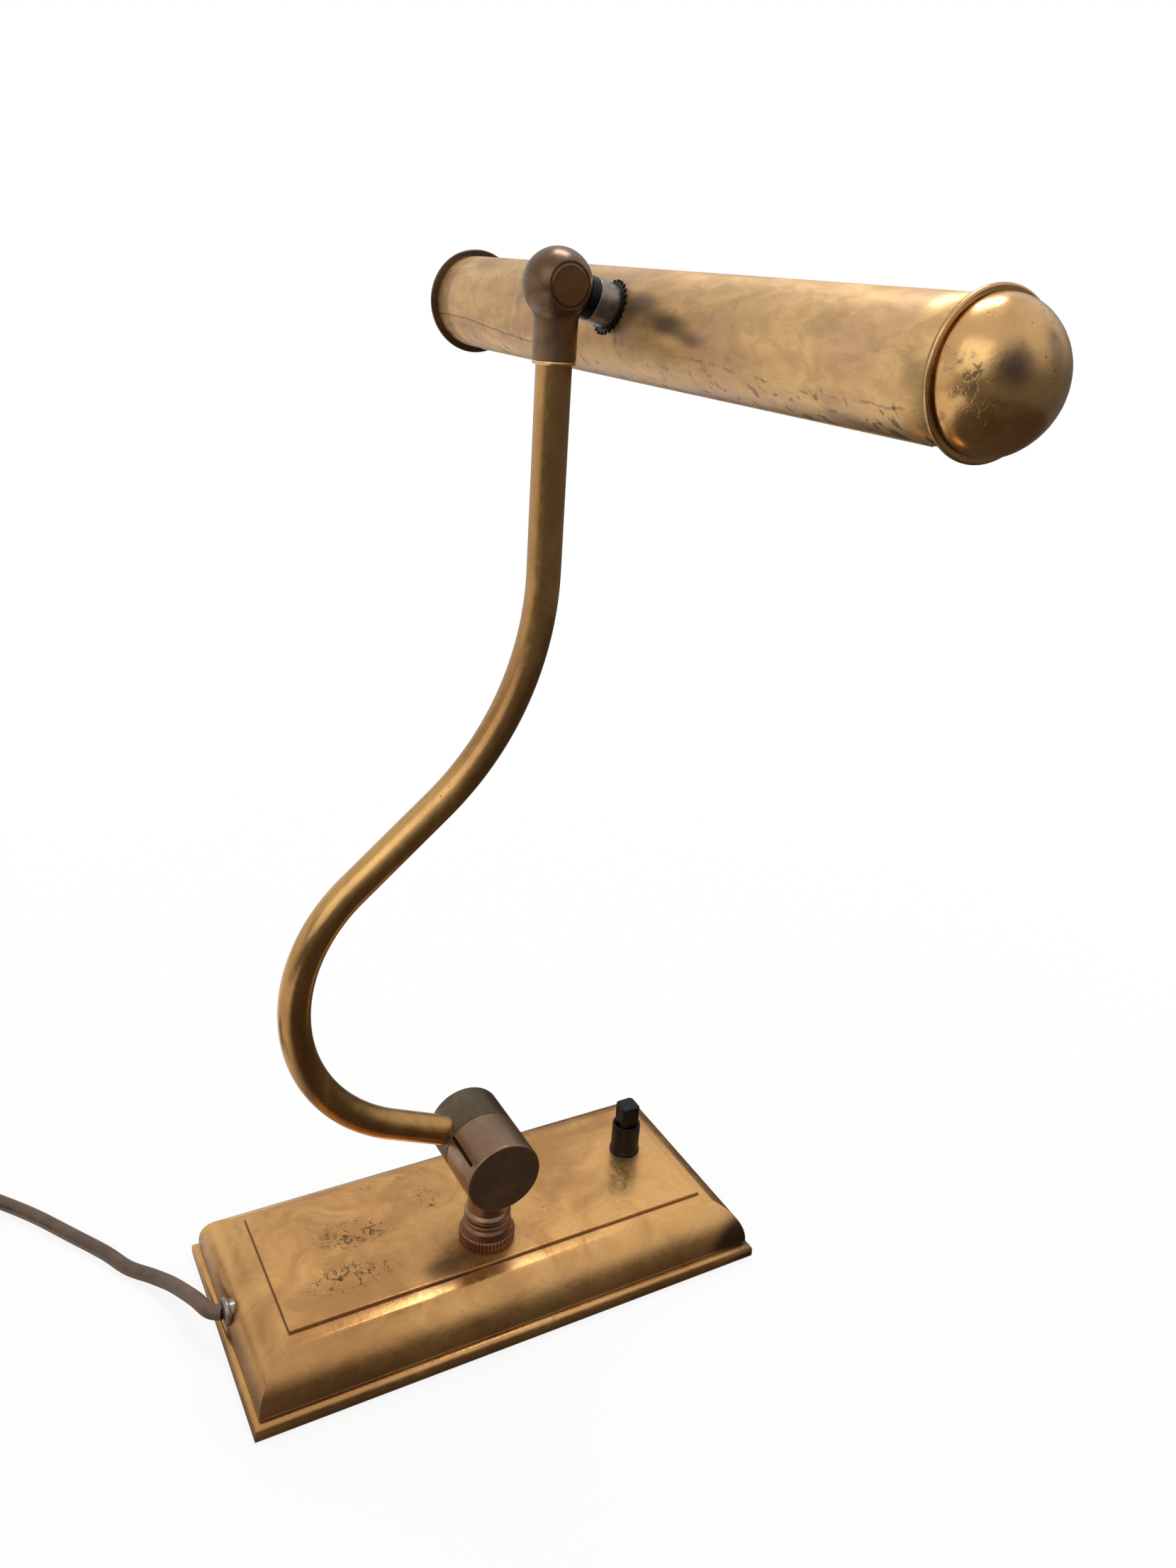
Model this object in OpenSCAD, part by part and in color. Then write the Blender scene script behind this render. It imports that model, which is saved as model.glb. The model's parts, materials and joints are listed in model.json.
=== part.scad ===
// Piano lamp: a weighted, stepped brass base, a drum swivel on a post, an S-shaped
// tube arm, a ball knuckle and a long tubular shade that holds two tubular bulbs.
// Millimetres. The origin is the middle of the base's underside; X runs along the
// base towards the push switch, Y runs away from the viewer, Z is up.

/* [Base] */
// Length of the base over its rim
base_w = 220; // [190:1:260]
// Depth of the base over its rim
base_d = 103; // [90:1:130]
// Height of the top plate above the table
base_h = 28.5; // [26:0.5:34]
// How far the rim hangs above the table
rim_gap = 1; // [0.5:0.1:2]
// Height of the rim band
rim_h = 6; // [5:0.5:8]
// Radius of the rim's rounded upper edge
rim_round = 2.8; // [1:0.1:3.2]
// How far the shadow groove over the rim is set in
groove_in = 3.4; // [2.9:0.1:4]
// Height of that groove
groove_h = 1; // [0.6:0.1:1.6]
// How far the foot of the rounded moulding is set in
ovolo_in = 2.6; // [1.5:0.1:2.8]
// Radius of the rounded moulding
ovolo_r = 19; // [12:0.5:19]
// How far the top plate is set in from the rim
top_in = 19; // [18:0.5:22]
// Height of the top plate's edge over the moulding
step_h = 1.2; // [0.8:0.1:2]
// Wall of the cast shell
base_wall = 2.4; // [2:0.1:3]
// Thickness of the felt pad
felt_t = 2; // [1.5:0.1:3]
// Thickness of the steel bottom plate
plate_t = 1.5; // [1:0.1:2]
// Thickness of the iron ballast slab
weight_t = 10; // [6:0.5:10]
// How far the slab is set in from the rim
weight_in = 8; // [7:0.5:14]

/* [Base fixings] */
// Distance of the screw bosses from the middle, along X
boss_x = 84; // [78:0.5:86]
// Distance of the screw bosses from the middle, along Y
boss_y = 26; // [22:0.5:30]
// Diameter of a screw boss
boss_d = 9; // [8:0.5:10]
// Diameter of the four base screws
screw_d = 4; // [3:0.5:5]
// Diameter of their heads
screw_head_d = 8; // [7:0.5:8.5]
// Length of their shanks under the head
screw_len = 10; // [8:0.5:14]

/* [Post] */
// Place of the post on the base along X
post_x = -4; // [-30:0.5:20]
// Place of the post on the base along Y
post_y = -17.5; // [-20:0.5:-14]
// Diameter of the hollow threaded stud
stud_d = 10; // [9:0.5:10]
// Bore of the stud
stud_bore = 7; // [6:0.5:7]
// Diameter of the knurled collar
collar_d = 23; // [20:0.2:26]
// Height of the collar's knurled band
collar_band_h = 5; // [4:0.5:6]
// Height of the collar over the top plate
collar_h = 11.5; // [10:0.5:13]
// Number of knurls round the collar
knurls = 44; // [24:1:48]
// Diameter of the swivel's neck
neck_d = 16.8; // [16.5:0.1:18]

/* [Drum swivel] */
// Height of the drum's axis over the table
drum_z = 68.7; // [64:0.1:72]
// Diameter of the drum
drum_d = 31; // [30:0.5:34]
// Y of the drum's flat front face
drum_front_y = -32; // [-32:0.5:-27.5]
// Y of the seam between the drum's two halves
drum_seam_y = -10; // [-10.5:0.1:-9.5]
// Length of the drum's rear half
drum_rear_len = 19; // [15.5:0.5:20]
// Wall of the drum's rim
drum_wall = 3; // [2.5:0.1:3.2]
// Thickness of the drum's end walls
drum_end = 3; // [2.5:0.1:3.5]
// Radius of the drum's outer edges
drum_round = 1.2; // [0.6:0.1:1.5]
// Length of the spigot that joins the halves
spigot_len = 4; // [3:0.5:5]
// Width of the clamping slit in the front half
slit_w = 1.6; // [1:0.1:2.4]
// Direction of that slit round the drum, in degrees from X towards Z
slit_angle = 147; // [130:1:170]
// Diameter of the hinge bolt
bolt_d = 5; // [4:0.5:5.5]
// Diameter of its head
bolt_head_d = 11; // [10:0.5:12]

/* [Arm] */
// Diameter of the arm tube
arm_d = 12; // [12:0.1:13]
// Wall of the arm tube
arm_wall = 1; // [0.8:0.1:1.2]
// Angle at which the arm leaves the drum, over the horizontal
arm_exit = 24.5; // [20:0.5:30]
// Straight run from the drum's axis to the lower bend
arm_root_len = 39; // [38:0.5:50]
// Radius of the lower bend
arm_low_r = 64; // [55:0.5:72]
// Lean of the straight middle run from the vertical
arm_lean = 49; // [40:1:52]
// Length of the straight middle run
arm_mid_len = 43; // [30:0.5:60]
// Radius of the upper bend
arm_top_r = 110.5; // [80:0.5:120]
// Length of the upright run over the upper bend
arm_top_len = 79; // [60:1:100]

/* [Knuckle] */
// Diameter of the ball
ball_d = 22.6; // [21:0.2:24]
// Distance between the ball's flat cheeks
cheek_w = 17.2; // [16:0.2:17.4]
// Diameter of the neck under the ball
ball_neck_d = 14.4; // [14.3:0.1:15]
// Length of that neck under the ball's centre
ball_neck_len = 23; // [18:0.5:24]
// Depth of the arm tube's socket in the neck
neck_socket = 10; // [6:0.5:11]
// Diameter of the flat pivot screw heads
pivot_head_d = 13.2; // [11:0.1:13.4]
// Diameter of the pivot screws' shanks
pivot_d = 4; // [3:0.5:4.5]
// Width of the turning eye
eye_w = 7.6; // [6:0.2:8]
// Diameter of the turning eye
eye_d = 14; // [13:0.2:14.4]
// Diameter of the hollow stem on the eye
stem_d = 6; // [5:0.2:6.4]
// Bore of the stem
stem_bore = 4; // [3:0.2:4]
// Droop of the stem under the horizontal
stem_droop = 17.5; // [0:0.5:20]
// How far the stem can be tilted down from rest
tilt_down = 3; // [1:1:6]
// How far the stem can be tilted up from rest
tilt_up = 50; // [30:1:50]
// Diameter of the dished friction washer
friction_d = 13.8; // [13:0.1:15]
// Diameter of the steel sleeve
sleeve_d = 14; // [12:0.2:15]
// Diameter of the toothed lock washer
lock_d = 18; // [16:0.5:19]
// Number of teeth on it
lock_teeth = 24; // [16:1:28]

/* [Shade] */
// Diameter of the shade tube
shade_d = 36.2; // [35.5:0.1:38]
// Wall of the shade tube
shade_wall = 0.9; // [0.7:0.1:1.1]
// Length of the shade tube
shade_len = 300; // [285:1:320]
// How far the middle of the shade lies behind the sleeve
shade_shift = -2.5; // [-6:0.5:6]
// Distance of the shade's axis from the ball's centre
shade_reach = 39; // [39:0.1:44]
// Angle of the light slot that is open
slot_open = 84; // [60:1:90]
// Direction of the slot round the shade, in degrees from the sleeve's axis
slot_aim = -36.5; // [-45:0.5:-25]
// How far the slot stops short of the shade's ends
slot_end = 14; // [12:1:24]
// Diameter of the bead along each edge of the slot
hem_d = 1.6; // [1.4:0.1:2]
// Diameter of the end caps' flanges
flange_d = 41.4; // [39:0.1:42]
// Thickness of the flanges
flange_t = 1.6; // [1.2:0.1:2]
// Width of the shadow groove beside the flange
cap_groove_w = 0.8; // [0.5:0.1:1]
// Depth of that groove
cap_groove_depth = 1.3; // [0.8:0.1:1.6]
// Diameter of the dome at its foot
dome_d = 37.8; // [37:0.1:38.8]
// Height of the dome
dome_h = 16; // [12.5:0.5:16]
// Radius of the dome's shoulder
dome_shoulder = 11.5; // [9:0.5:12]
// Thickness of the caps' metal
cap_t = 0.8; // [0.6:0.1:1]
// Length of the cap's skirt inside the tube
skirt_len = 7; // [5:0.5:9]

/* [Lamps] */
// Diameter of a lamp socket
socket_d = 24; // [22:0.5:25]
// Length of a lamp socket
socket_len = 32; // [30:1:34]
// Distance of the sockets' backs from the sleeve
socket_back = 20; // [18:0.5:22]
// Diameter of a bulb's screw base
bulb_base_d = 13.8; // [13:0.1:14]
// Diameter of a bulb's glass
bulb_d = 24.8; // [22:0.2:25]
// Length of a bulb's glass
bulb_len = 66; // [56:1:70]
// Thickness of the glass
glass_t = 0.8; // [0.6:0.1:1]

/* [Switch] */
// Distance of the switch from the base's right end
switch_inset = 34.5; // [32:0.5:60]
// Place of the switch on the base along Y
switch_y = 6; // [-6:0.5:8]
// Diameter of the switch's collar
switch_collar_d = 12.6; // [12.2:0.1:14]
// Height of the collar over the top plate
switch_collar_h = 15; // [14:0.5:24]
// Diameter of the switch's threaded neck
switch_neck_d = 10; // [9.4:0.2:10]
// Width of the square push button
button_w = 8.4; // [7.4:0.1:8.4]
// Height of the button over the collar
button_show = 10.2; // [7:0.1:11]
// Travel of the button
button_travel = 3; // [2:0.1:3.5]

/* [Cord] */
// Diameter of the round flex
cord_d = 6; // [5.5:0.1:6.2]
// Height of the grommet over the table
grommet_z = 15; // [13.2:0.1:15]
// Outer diameter of the grommet's rolled lip
grommet_d = 11.2; // [10.8:0.1:12]
// How deep the grommet's flat seat is cut into the moulding
seat_in = 0.3; // [0.1:0.1:0.5]
// Number of loops in the coil
coil_loops = 7.5; // [7.5]
// Step between neighbouring turns of the coil
coil_step = 6.6; // [6.6:0.05:7]
// Radius of the coil's outermost turn
coil_r = 46; // [44:0.5:48]

/* [Plug] */
// Width of the plug
plug_w = 22; // [20:0.5:24]
// Thickness of the plug
plug_h = 17; // [15:0.5:18]
// Length of the plug's body
plug_len = 26; // [22:0.5:30]
// Length of the plug's strain relief
relief_len = 24; // [20:0.5:30]
// Distance between the blades
blade_gap = 12.7; // [12:0.1:13]
// Length of the blades
blade_len = 16; // [14:0.5:18]

/* [Clearances] */
// Radial clearance of a turning fit
run_fit = 0.05; // [0.02:0.01:0.08]
// Radial clearance of a fixed fit
fixed_fit = 0.02; // [0.01:0.01:0.03]
// Gap between faces that slide past each other
face_gap = 0.1; // [0.05:0.01:0.15]

/* [Hidden] */
$fn = 96;
cut = 0.01; // overlap of a cutting solid with the face that it opens
big = 400; // longer than anything that it cuts or bounds

// ---- derived: base ----
rim_top = rim_gap + rim_h;
ovolo_foot = rim_top + groove_h;
ovolo_top = base_h - step_h;
ovolo_z = ovolo_top - ovolo_r; // height of the moulding's centre line
cavity_r = ovolo_r - base_wall;
cavity_top = ovolo_z + cavity_r;
cavity_in = ovolo_in + base_wall;
mouth_gap = 0.5; // round the felt and the bottom plate
plate_top = felt_t + plate_t;
weight_top = plate_top + weight_t;
head_well = 0.4; // how far the screw heads stay off the table
boss_hole_depth = screw_len + 1;
boss_places = [for (sx = [-1, 1], sy = [-1, 1]) [sx * boss_x, sy * boss_y]];

// ---- derived: post and drum ----
stud_wall_hole = 0.2; // radial clearance of the stud and the switch in the top plate
washer_t = 1.2;
nut_t = 3;
nut_af = 14;
washer_d = 18;
stud_foot = cavity_top - washer_t - nut_t - 1.2;
collar_top = base_h + collar_h;
neck_foot = collar_top + 4 * face_gap;
neck_bead_h = 3.4;
neck_bead_d = neck_d + 2;
chamber_z = neck_foot + 8.6; // floor of the retaining nut's chamber in the neck
chamber_d = nut_af;
retaining_d = nut_af - 1;
stud_top = chamber_z + 2 * face_gap + nut_t + 0.8;
drum_r = drum_d / 2;
drum_bore_r = drum_r - drum_wall;
seam_front = drum_seam_y - face_gap;
seam_rear = drum_seam_y + face_gap;
drum_rear_y = drum_seam_y + drum_rear_len;
spigot_wall = 2;
rear_bore_r = drum_bore_r - spigot_wall;
boss_r = bolt_d / 2 + 3.5;
bolt_boss_len = 6;
slit_stop = drum_end; // metal left in front of the slit
wave_t = 0.6;
bolt_head_h = 3.2;

// ---- derived: arm, a path in the plane Y = arm_y ----
arm_y = seam_rear + 2 + arm_d / 2; // leaves 2 mm of the drum between the arm and the seam
arm_bore = arm_d - 2 * arm_wall;
arm_start = rear_bore_r - 1; // distance of the tube's lower end from the drum's axis
arm_rise = 90 - arm_lean; // direction of the straight middle run over the horizontal
root_end = [post_x - arm_root_len * cos(arm_exit), drum_z + arm_root_len * sin(arm_exit)];
low_centre = root_end + arm_low_r * [sin(arm_exit), cos(arm_exit)];
mid_start = low_centre + arm_low_r * [-cos(arm_lean), sin(arm_lean)];
mid_end = mid_start + arm_mid_len * [sin(arm_lean), cos(arm_lean)];
top_centre = mid_end + arm_top_r * [-cos(arm_lean), sin(arm_lean)];
head_x = top_centre[0] + arm_top_r; // X of the upright run and the ball
tube_end_z = top_centre[1] + arm_top_len;
neck_bottom_z = tube_end_z - neck_socket;
ball_z = neck_bottom_z + ball_neck_len;
low_turn = 180 - arm_exit - arm_rise;
sleeving_d = arm_bore - 1.5; // heat-proof sleeving round the two leads in the arm

// ---- derived: knuckle, in the head's own frame ----
ball_r = ball_d / 2;
wire_bore = 8;
slot_gap = 0.2; // beside the stem and the eye
pivot_head_t = 0.9;
head_sink = 0.6; // how deep the pivot screw heads sit in the cheeks
pivot_reach = 1.2; // distance of the pivot screws' ends from the middle
friction_x = ball_r - 2.2;
sleeve_x = friction_x + 3.4;
lock_t = 0.8;
crest_x = shade_reach - shade_d / 2; // nearest line of the shade's outside
lock_x = crest_x - fixed_fit - lock_t;
spigot_d = 9;
shade_bore_r = shade_d / 2 - shade_wall;
clamp_r = 6;
clamp_x = shade_reach - sqrt(shade_bore_r * shade_bore_r - clamp_r * clamp_r) + fixed_fit;
clamp_t = 1;
bracket_t = 1.2;
bracket_x = clamp_x + clamp_t;
bracket_w = 11;
nut2_t = 2.8;
nut2_x = bracket_x + bracket_t;
spigot_end = nut2_x + nut2_t + 0.2;
clip_t = 1;
stem_end = spigot_end + 2 * face_gap + clip_t + 0.6;

// ---- derived: lamps ----
socket_mouth = socket_back + socket_len;
base_depth = 18; // how deep a bulb's base sits in its socket
bulb_foot = socket_mouth + 0.5;
bulb_neck_len = 8;
bulb_neck_r = 7.2;

// ---- derived: switch ----
switch_x = base_w / 2 - switch_inset;
collar2_top = base_h + switch_collar_h;
button_top = collar2_top + button_show;
neck_top = base_h + switch_collar_h - 10; // top of the switch's threaded neck
chamber2_top = collar2_top - 2;
chamber2_r = switch_collar_d / 2 - 0.6;
button_round = 1.6;
button_gap = 0.2;
button_flange_t = 1;
button_flange_top = chamber2_top - 3 * face_gap;
button_flange_z = button_flange_top - button_flange_t;
button_stem_r = 2;
body_w = 22;
body_d = 15;
body_foot = 9;
terminal_z = 15.2;
terminal_r = 1.6;

// ---- derived: cord ----
cord_r = cord_d / 2;
lip_r = (grommet_d - cord_d) / 4 - run_fit / 2; // section radius of the grommet's lip
lip_ring = cord_r + run_fit + lip_r;
wall_face = base_w / 2 - ovolo_in - ovolo_r
    + sqrt(ovolo_r * ovolo_r - pow(grommet_z - ovolo_z, 2));
flange_r = lip_ring + lip_r; // of the grommet's flange inside the base
flange_x = -(base_w / 2 - ovolo_in - ovolo_r) + 0.1
    - sqrt(cavity_r * cavity_r - pow(grommet_z + flange_r - ovolo_z, 2));
seat_face = wall_face - seat_in;
lip_x = -seat_face - lip_r - 0.05;
cord_mouth = lip_x - lip_r - 0.2; // X where the free cord leaves the grommet
clamp_block = [12, 16, 19.5];
clamp_block_x = -86;
jacket_end = clamp_block_x + 10;
notch_end = jacket_end + 6;
lead_d = 2.4;
lead_z = weight_top + lead_d / 2 + 0.5;

// Route of the free cord on the table, from the grommet to the coil
floor_z = cord_r + 0.1;
run_route = [
    [cord_mouth, 0, grommet_z], [-113, 3.4, grommet_z - 0.3], [-116, 12, grommet_z - 1.5],
    [-118.5, 21.5, 9.9], [-122.3, 32, 6.6], [-128.3, 42, 4.4], [-136, 52, floor_z],
    [-143, 64.5, floor_z], [-154.5, 81.5, floor_z], [-166.5, 99, floor_z],
    [-179, 114.5, floor_z], [-190, 126.5, floor_z], [-199.5, 134.8, floor_z],
];
coil_centre = [-236, 104];
coil_start_angle = 60;
half_loops = coil_loops / 2;
loop_rings = 24;
plug_start = [-234.5, 42, plug_h / 2];
plug_heading = -60;
tail_route = [
    [-247, 57.8, floor_z + coil_step], [-241.5, 53, 9.3], [-237.4, 47.6, 8.7],
];

// ---- helpers ----
module rod_y(y0, y1, r) translate([0, y0, 0]) rotate([-90, 0, 0]) cylinder(h = y1 - y0, r = r);
module rod_x(x0, x1, r) translate([x0, 0, 0]) rotate([0, 90, 0]) cylinder(h = x1 - x0, r = r);
module tube_z(z0, z1, r, bore) translate([0, 0, z0]) difference() {
    cylinder(h = z1 - z0, r = r);
    translate([0, 0, -1]) cylinder(h = z1 - z0 + 2, r = bore);
}
module hex_z(z0, z1, af) translate([0, 0, z0]) cylinder(h = z1 - z0, d = af / cos(30), $fn = 6);
module spin_y() rotate([-90, 0, 0]) rotate_extrude() children(); // local Y becomes +Y
module at_post() translate([post_x, post_y, 0]) children();
module at_drum() translate([post_x, 0, drum_z]) children();
module at_switch() translate([switch_x, switch_y, 0]) children();
module toward(angle) rotate([0, -angle, 0]) children(); // turns +X by angle towards +Z
module head_frame() translate([head_x, arm_y, ball_z]) toward(-stem_droop) children();
module at_shade() head_frame() translate([shade_reach, 0, 0]) children();

// A straight rod between two points
module rod(a, b, d) {
    v = b - a;
    translate(a)
        rotate([0, acos(v[2] / norm(v)), atan2(v[1], v[0])])
            cylinder(h = norm(v), d = d, $fn = 24);
}

// A bent lead with rounded bends
module soft_lead(points, d) {
    path = smooth_path(points, 5);
    last = len(path) - 1;
    swept_tube(path, d / 2, 10, unit(path[1] - path[0]), unit(path[last] - path[last - 1]));
}

// ---- swept tubes for the free cord ----
function catmull(a, b, c, d, t) =
    0.5 * (2 * b + (c - a) * t + (2 * a - 5 * b + 4 * c - d) * t * t
        + (3 * b - a - 3 * c + d) * t * t * t);
function at(list, i) = list[max(0, min(len(list) - 1, i))];
function smooth_path(route, steps) = concat(
    [for (i = [0 : len(route) - 2], s = [0 : steps - 1])
        catmull(at(route, i - 1), route[i], route[i + 1], at(route, i + 2), s / steps)],
    [route[len(route) - 1]]);
function unit(v) = v / norm(v);
function path_dir(path, i) = unit(at(path, i + 1) - at(path, i - 1));
function ring_points(centre, dir, r, sides) =
    let (side = unit(cross(dir, [0, 0, 1])), up = cross(side, dir))
    [for (k = [0 : sides - 1]) centre + r * (cos(360 * k / sides) * side + sin(360 * k / sides) * up)];

// A tube along a path, whose end faces can be given their own directions
module swept_tube(path, r, sides, first_dir, last_dir) {
    last = len(path) - 1;
    rings = [for (i = [0 : last]) ring_points(path[i],
        i == 0 ? first_dir : i == last ? last_dir : path_dir(path, i), r, sides)];
    skin = [for (i = [0 : last - 1], k = [0 : sides - 1])
        let (a = i * sides + k, b = i * sides + (k + 1) % sides)
        each [[a, b, b + sides], [a, b + sides, a + sides]]];
    ends = [for (k = [1 : sides - 2])
        each [[0, k + 1, k], [last * sides, last * sides + k, last * sides + k + 1]]];
    polyhedron(points = [for (ring = rings) each ring], faces = concat(skin, ends), convexity = 10);
}

// ---- the coil: two layers, spiralling in below and out again above ----
function smoothstep(t) = let (u = max(0, min(1, t))) u * u * (3 - 2 * u);
function coil_radius(t) = coil_r - coil_step * (t < half_loops ? t : coil_loops - t);
function coil_point(t) =
    let (a = coil_start_angle + 360 * t, r = coil_radius(t))
    [coil_centre[0] + r * cos(a), coil_centre[1] + r * sin(a),
        floor_z + coil_step * smoothstep((t - half_loops + 0.25) * 2)];
coil_turns = [for (i = [0 : coil_loops * loop_rings]) coil_point(i / loop_rings)];
coil_in_dir = unit(coil_turns[1] - coil_turns[0]);
coil_out_dir = unit(coil_turns[len(coil_turns) - 1] - coil_turns[len(coil_turns) - 2]);
coil_in = coil_turns[0] - cord_d * coil_in_dir;
coil_out = coil_turns[len(coil_turns) - 1] + cord_d * coil_out_dir;
coil_path = concat([coil_in], coil_turns, [coil_out]);
coil_gap = min([for (i = [0 : len(coil_turns) - 1], j = [i + loop_rings / 2 : len(coil_turns) - 1])
    norm(coil_turns[i] - coil_turns[j])]) - cord_d;
plug_dir = [cos(plug_heading), sin(plug_heading), 0];

// ---- base ----

// The moulding's outer section: "length" is the base's size across the section
module edge_section(length) {
    half = length / 2;
    translate([-half, rim_gap]) square([length, rim_h - rim_round]);
    translate([-half + rim_round, rim_gap]) square([length - 2 * rim_round, rim_h]);
    for (s = [-1, 1])
        translate([s * (half - rim_round), rim_top - rim_round]) circle(r = rim_round);
    translate([-half + groove_in, rim_gap]) square([length - 2 * groove_in, ovolo_top - rim_gap - 2]);
    translate([-half + ovolo_in, ovolo_foot])
        square([length - 2 * ovolo_in, max(cut, ovolo_z - ovolo_foot)]);
    arched(half - ovolo_in - ovolo_r, ovolo_r, max(ovolo_z, ovolo_foot));
    translate([-half + top_in, ovolo_z]) square([length - 2 * top_in, base_h - ovolo_z]);
}
module arched(centre, r, from_z) intersection() {
    union() {
        for (s = [-1, 1]) translate([s * centre, ovolo_z]) circle(r = r);
        translate([-centre, ovolo_z]) square([2 * centre, r]);
    }
    translate([-big, from_z - cut]) square([2 * big, big]);
}
module cavity_section(length) {
    half = length / 2;
    translate([-half + cavity_in, -1]) square([length - 2 * cavity_in, ovolo_z + 1]);
    arched(half - ovolo_in - ovolo_r, cavity_r, ovolo_z);
}
module crossed(x_length, y_length) intersection() {
    rotate([90, 0, 0]) linear_extrude(height = y_length + 2, center = true) children(0);
    rotate([90, 0, 90]) linear_extrude(height = x_length + 2, center = true) children(1);
}
module base_shell() color("darkgoldenrod") difference() {
    union() {
        difference() {
            crossed(base_w, base_d) {
                edge_section(base_w);
                edge_section(base_d);
            }
            crossed(base_w, base_d) {
                cavity_section(base_w);
                cavity_section(base_d);
            }
        }
        for (p = boss_places)
            translate([p[0], p[1], plate_top]) cylinder(h = cavity_top - plate_top + 1, d = boss_d);
    }
    for (p = boss_places)
        translate([p[0], p[1], plate_top - 1])
            cylinder(h = boss_hole_depth + 1, r = screw_d / 2 + fixed_fit);
    at_post() cylinder(h = base_h + 1, r = stud_d / 2 + stud_wall_hole);
    at_switch() cylinder(h = base_h + 1, r = switch_neck_d / 2 + stud_wall_hole);
    translate([0, 0, grommet_z]) {
        rod_x(-base_w / 2 - 1, flange_x, lip_ring + fixed_fit);
        rod_x(-base_w / 2 - 1, -seat_face, lip_ring + lip_r + fixed_fit);
    }
}

module block(x, y, z0, z1) translate([-x / 2, -y / 2, z0]) cube([x, y, z1 - z0]);

module base_weight() color("dimgray") difference() {
    block(base_w - 2 * weight_in, base_d - 2 * weight_in, plate_top, weight_top);
    for (p = boss_places)
        translate([p[0], p[1], plate_top - 1]) cylinder(h = weight_t + 2, d = boss_d + 2);
    at_switch() block(body_w + 5, body_d + 5, plate_top - 1, weight_top + 1);
    translate([-base_w / 2, -clamp_block[1] / 2 - 2, plate_top - 1])
        cube([notch_end + base_w / 2, clamp_block[1] + 4, weight_t + 2]);
}

module bottom_plate() color("silver") difference() {
    block(base_w - 2 * cavity_in - 2 * mouth_gap, base_d - 2 * cavity_in - 2 * mouth_gap,
        felt_t, plate_top);
    for (p = boss_places)
        translate([p[0], p[1], felt_t - 1]) cylinder(h = plate_t + 2, d = screw_d + 0.5);
}

module felt_pad() color("darkolivegreen") difference() {
    block(base_w - 2 * cavity_in - 2 * mouth_gap, base_d - 2 * cavity_in - 2 * mouth_gap,
        0, felt_t);
    for (p = boss_places)
        translate([p[0], p[1], -1]) cylinder(h = felt_t + 2, d = screw_head_d + 1);
}

module base_screws() color("gray") for (p = boss_places) translate([p[0], p[1], 0]) difference() {
    union() {
        translate([0, 0, head_well]) cylinder(h = felt_t - head_well, d = screw_head_d);
        translate([0, 0, felt_t - cut]) cylinder(h = screw_len, d = screw_d);
    }
    block(1, screw_head_d + 1, head_well - 1, head_well + 0.7);
}

// ---- cord entry and wiring in the base ----
module cord_grommet() color("silver") translate([0, 0, grommet_z]) difference() {
    union() {
        translate([lip_x, 0, 0]) rotate([0, 90, 0]) rotate_extrude()
            translate([lip_ring, 0]) circle(r = lip_r, $fn = 48);
        rod_x(lip_x, flange_x + 1, lip_ring);
        rod_x(flange_x, flange_x + 1, flange_r);
    }
    rod_x(lip_x - 5, flange_x + 2, cord_r + run_fit);
}

module cord_end() color("saddlebrown") translate([0, 0, grommet_z])
    rod_x(cord_mouth, jacket_end, cord_r);

module cord_clamp() color("ivory") difference() {
    translate([clamp_block_x, 0, 0]) block(clamp_block[0], clamp_block[1], plate_top, clamp_block[2]);
    translate([0, 0, grommet_z])
        rod_x(clamp_block_x - clamp_block[0], clamp_block_x + clamp_block[0], cord_r + fixed_fit);
}

module base_leads() color("sienna") {
    pair = lead_d / 2 + 0.2;
    lead_start = jacket_end + 0.5;
    up_z = stud_top - 4;
    bend_z = stud_foot - 2;
    terminal_x = switch_x - 5;
    terminal_y = body_d / 2 + terminal_r + 1.5;
    turn_x = switch_x - 20; // where the leads turn to the switch's terminals
    back_y = 18; // how far behind the middle the first lead runs
    fore_y = -14; // how far before the middle the third one turns
    mid_y = -8; // the second one on its way to the post
    soft_lead([[lead_start, pair, grommet_z], [jacket_end + 6, pair + 2, lead_z],
        [clamp_block_x + 26, back_y, lead_z], [post_x + 14, back_y, lead_z],
        [turn_x - 14, back_y, lead_z], [turn_x, back_y, lead_z],
        [terminal_x, switch_y + terminal_y, terminal_z]], lead_d);
    soft_lead([[lead_start, -pair, grommet_z], [jacket_end + 8, -pair - 1, lead_z],
        [jacket_end + 28, mid_y, lead_z], [post_x - 14, post_y + 2, lead_z], [post_x - pair - 1.6, post_y, bend_z],
        [post_x - pair, post_y, bend_z + 6], [post_x - pair, post_y, up_z]], lead_d);
    soft_lead([[terminal_x, switch_y - terminal_y, terminal_z], [turn_x, fore_y, lead_z],
        [post_x + 14, post_y, lead_z], [post_x + pair + 1.6, post_y, bend_z],
        [post_x + pair, post_y, bend_z + 6], [post_x + pair, post_y, up_z]], lead_d);
}

// ---- push switch ----
module rounded_square(w, r) {
    square([w, w - 2 * r], center = true);
    square([w - 2 * r, w], center = true);
    for (sx = [-1, 1], sy = [-1, 1])
        translate([sx * (w / 2 - r), sy * (w / 2 - r)]) circle(r = r, $fn = 32);
}

module switch_body() color("black") at_switch() difference() {
    union() {
        block(body_w, body_d, body_foot, cavity_top - fixed_fit);
        translate([0, 0, body_foot]) cylinder(h = neck_top - body_foot, d = switch_neck_d);
    }
    translate([0, 0, neck_top - 14]) cylinder(h = big, r = button_stem_r + run_fit);
}

module switch_terminals() color("gold") at_switch() for (s = [-1, 1])
    translate([-5, 0, terminal_z]) rotate([s * -90, 0, 0])
        translate([0, 0, body_d / 2 + fixed_fit]) cylinder(h = 1.5, r = terminal_r);

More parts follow.
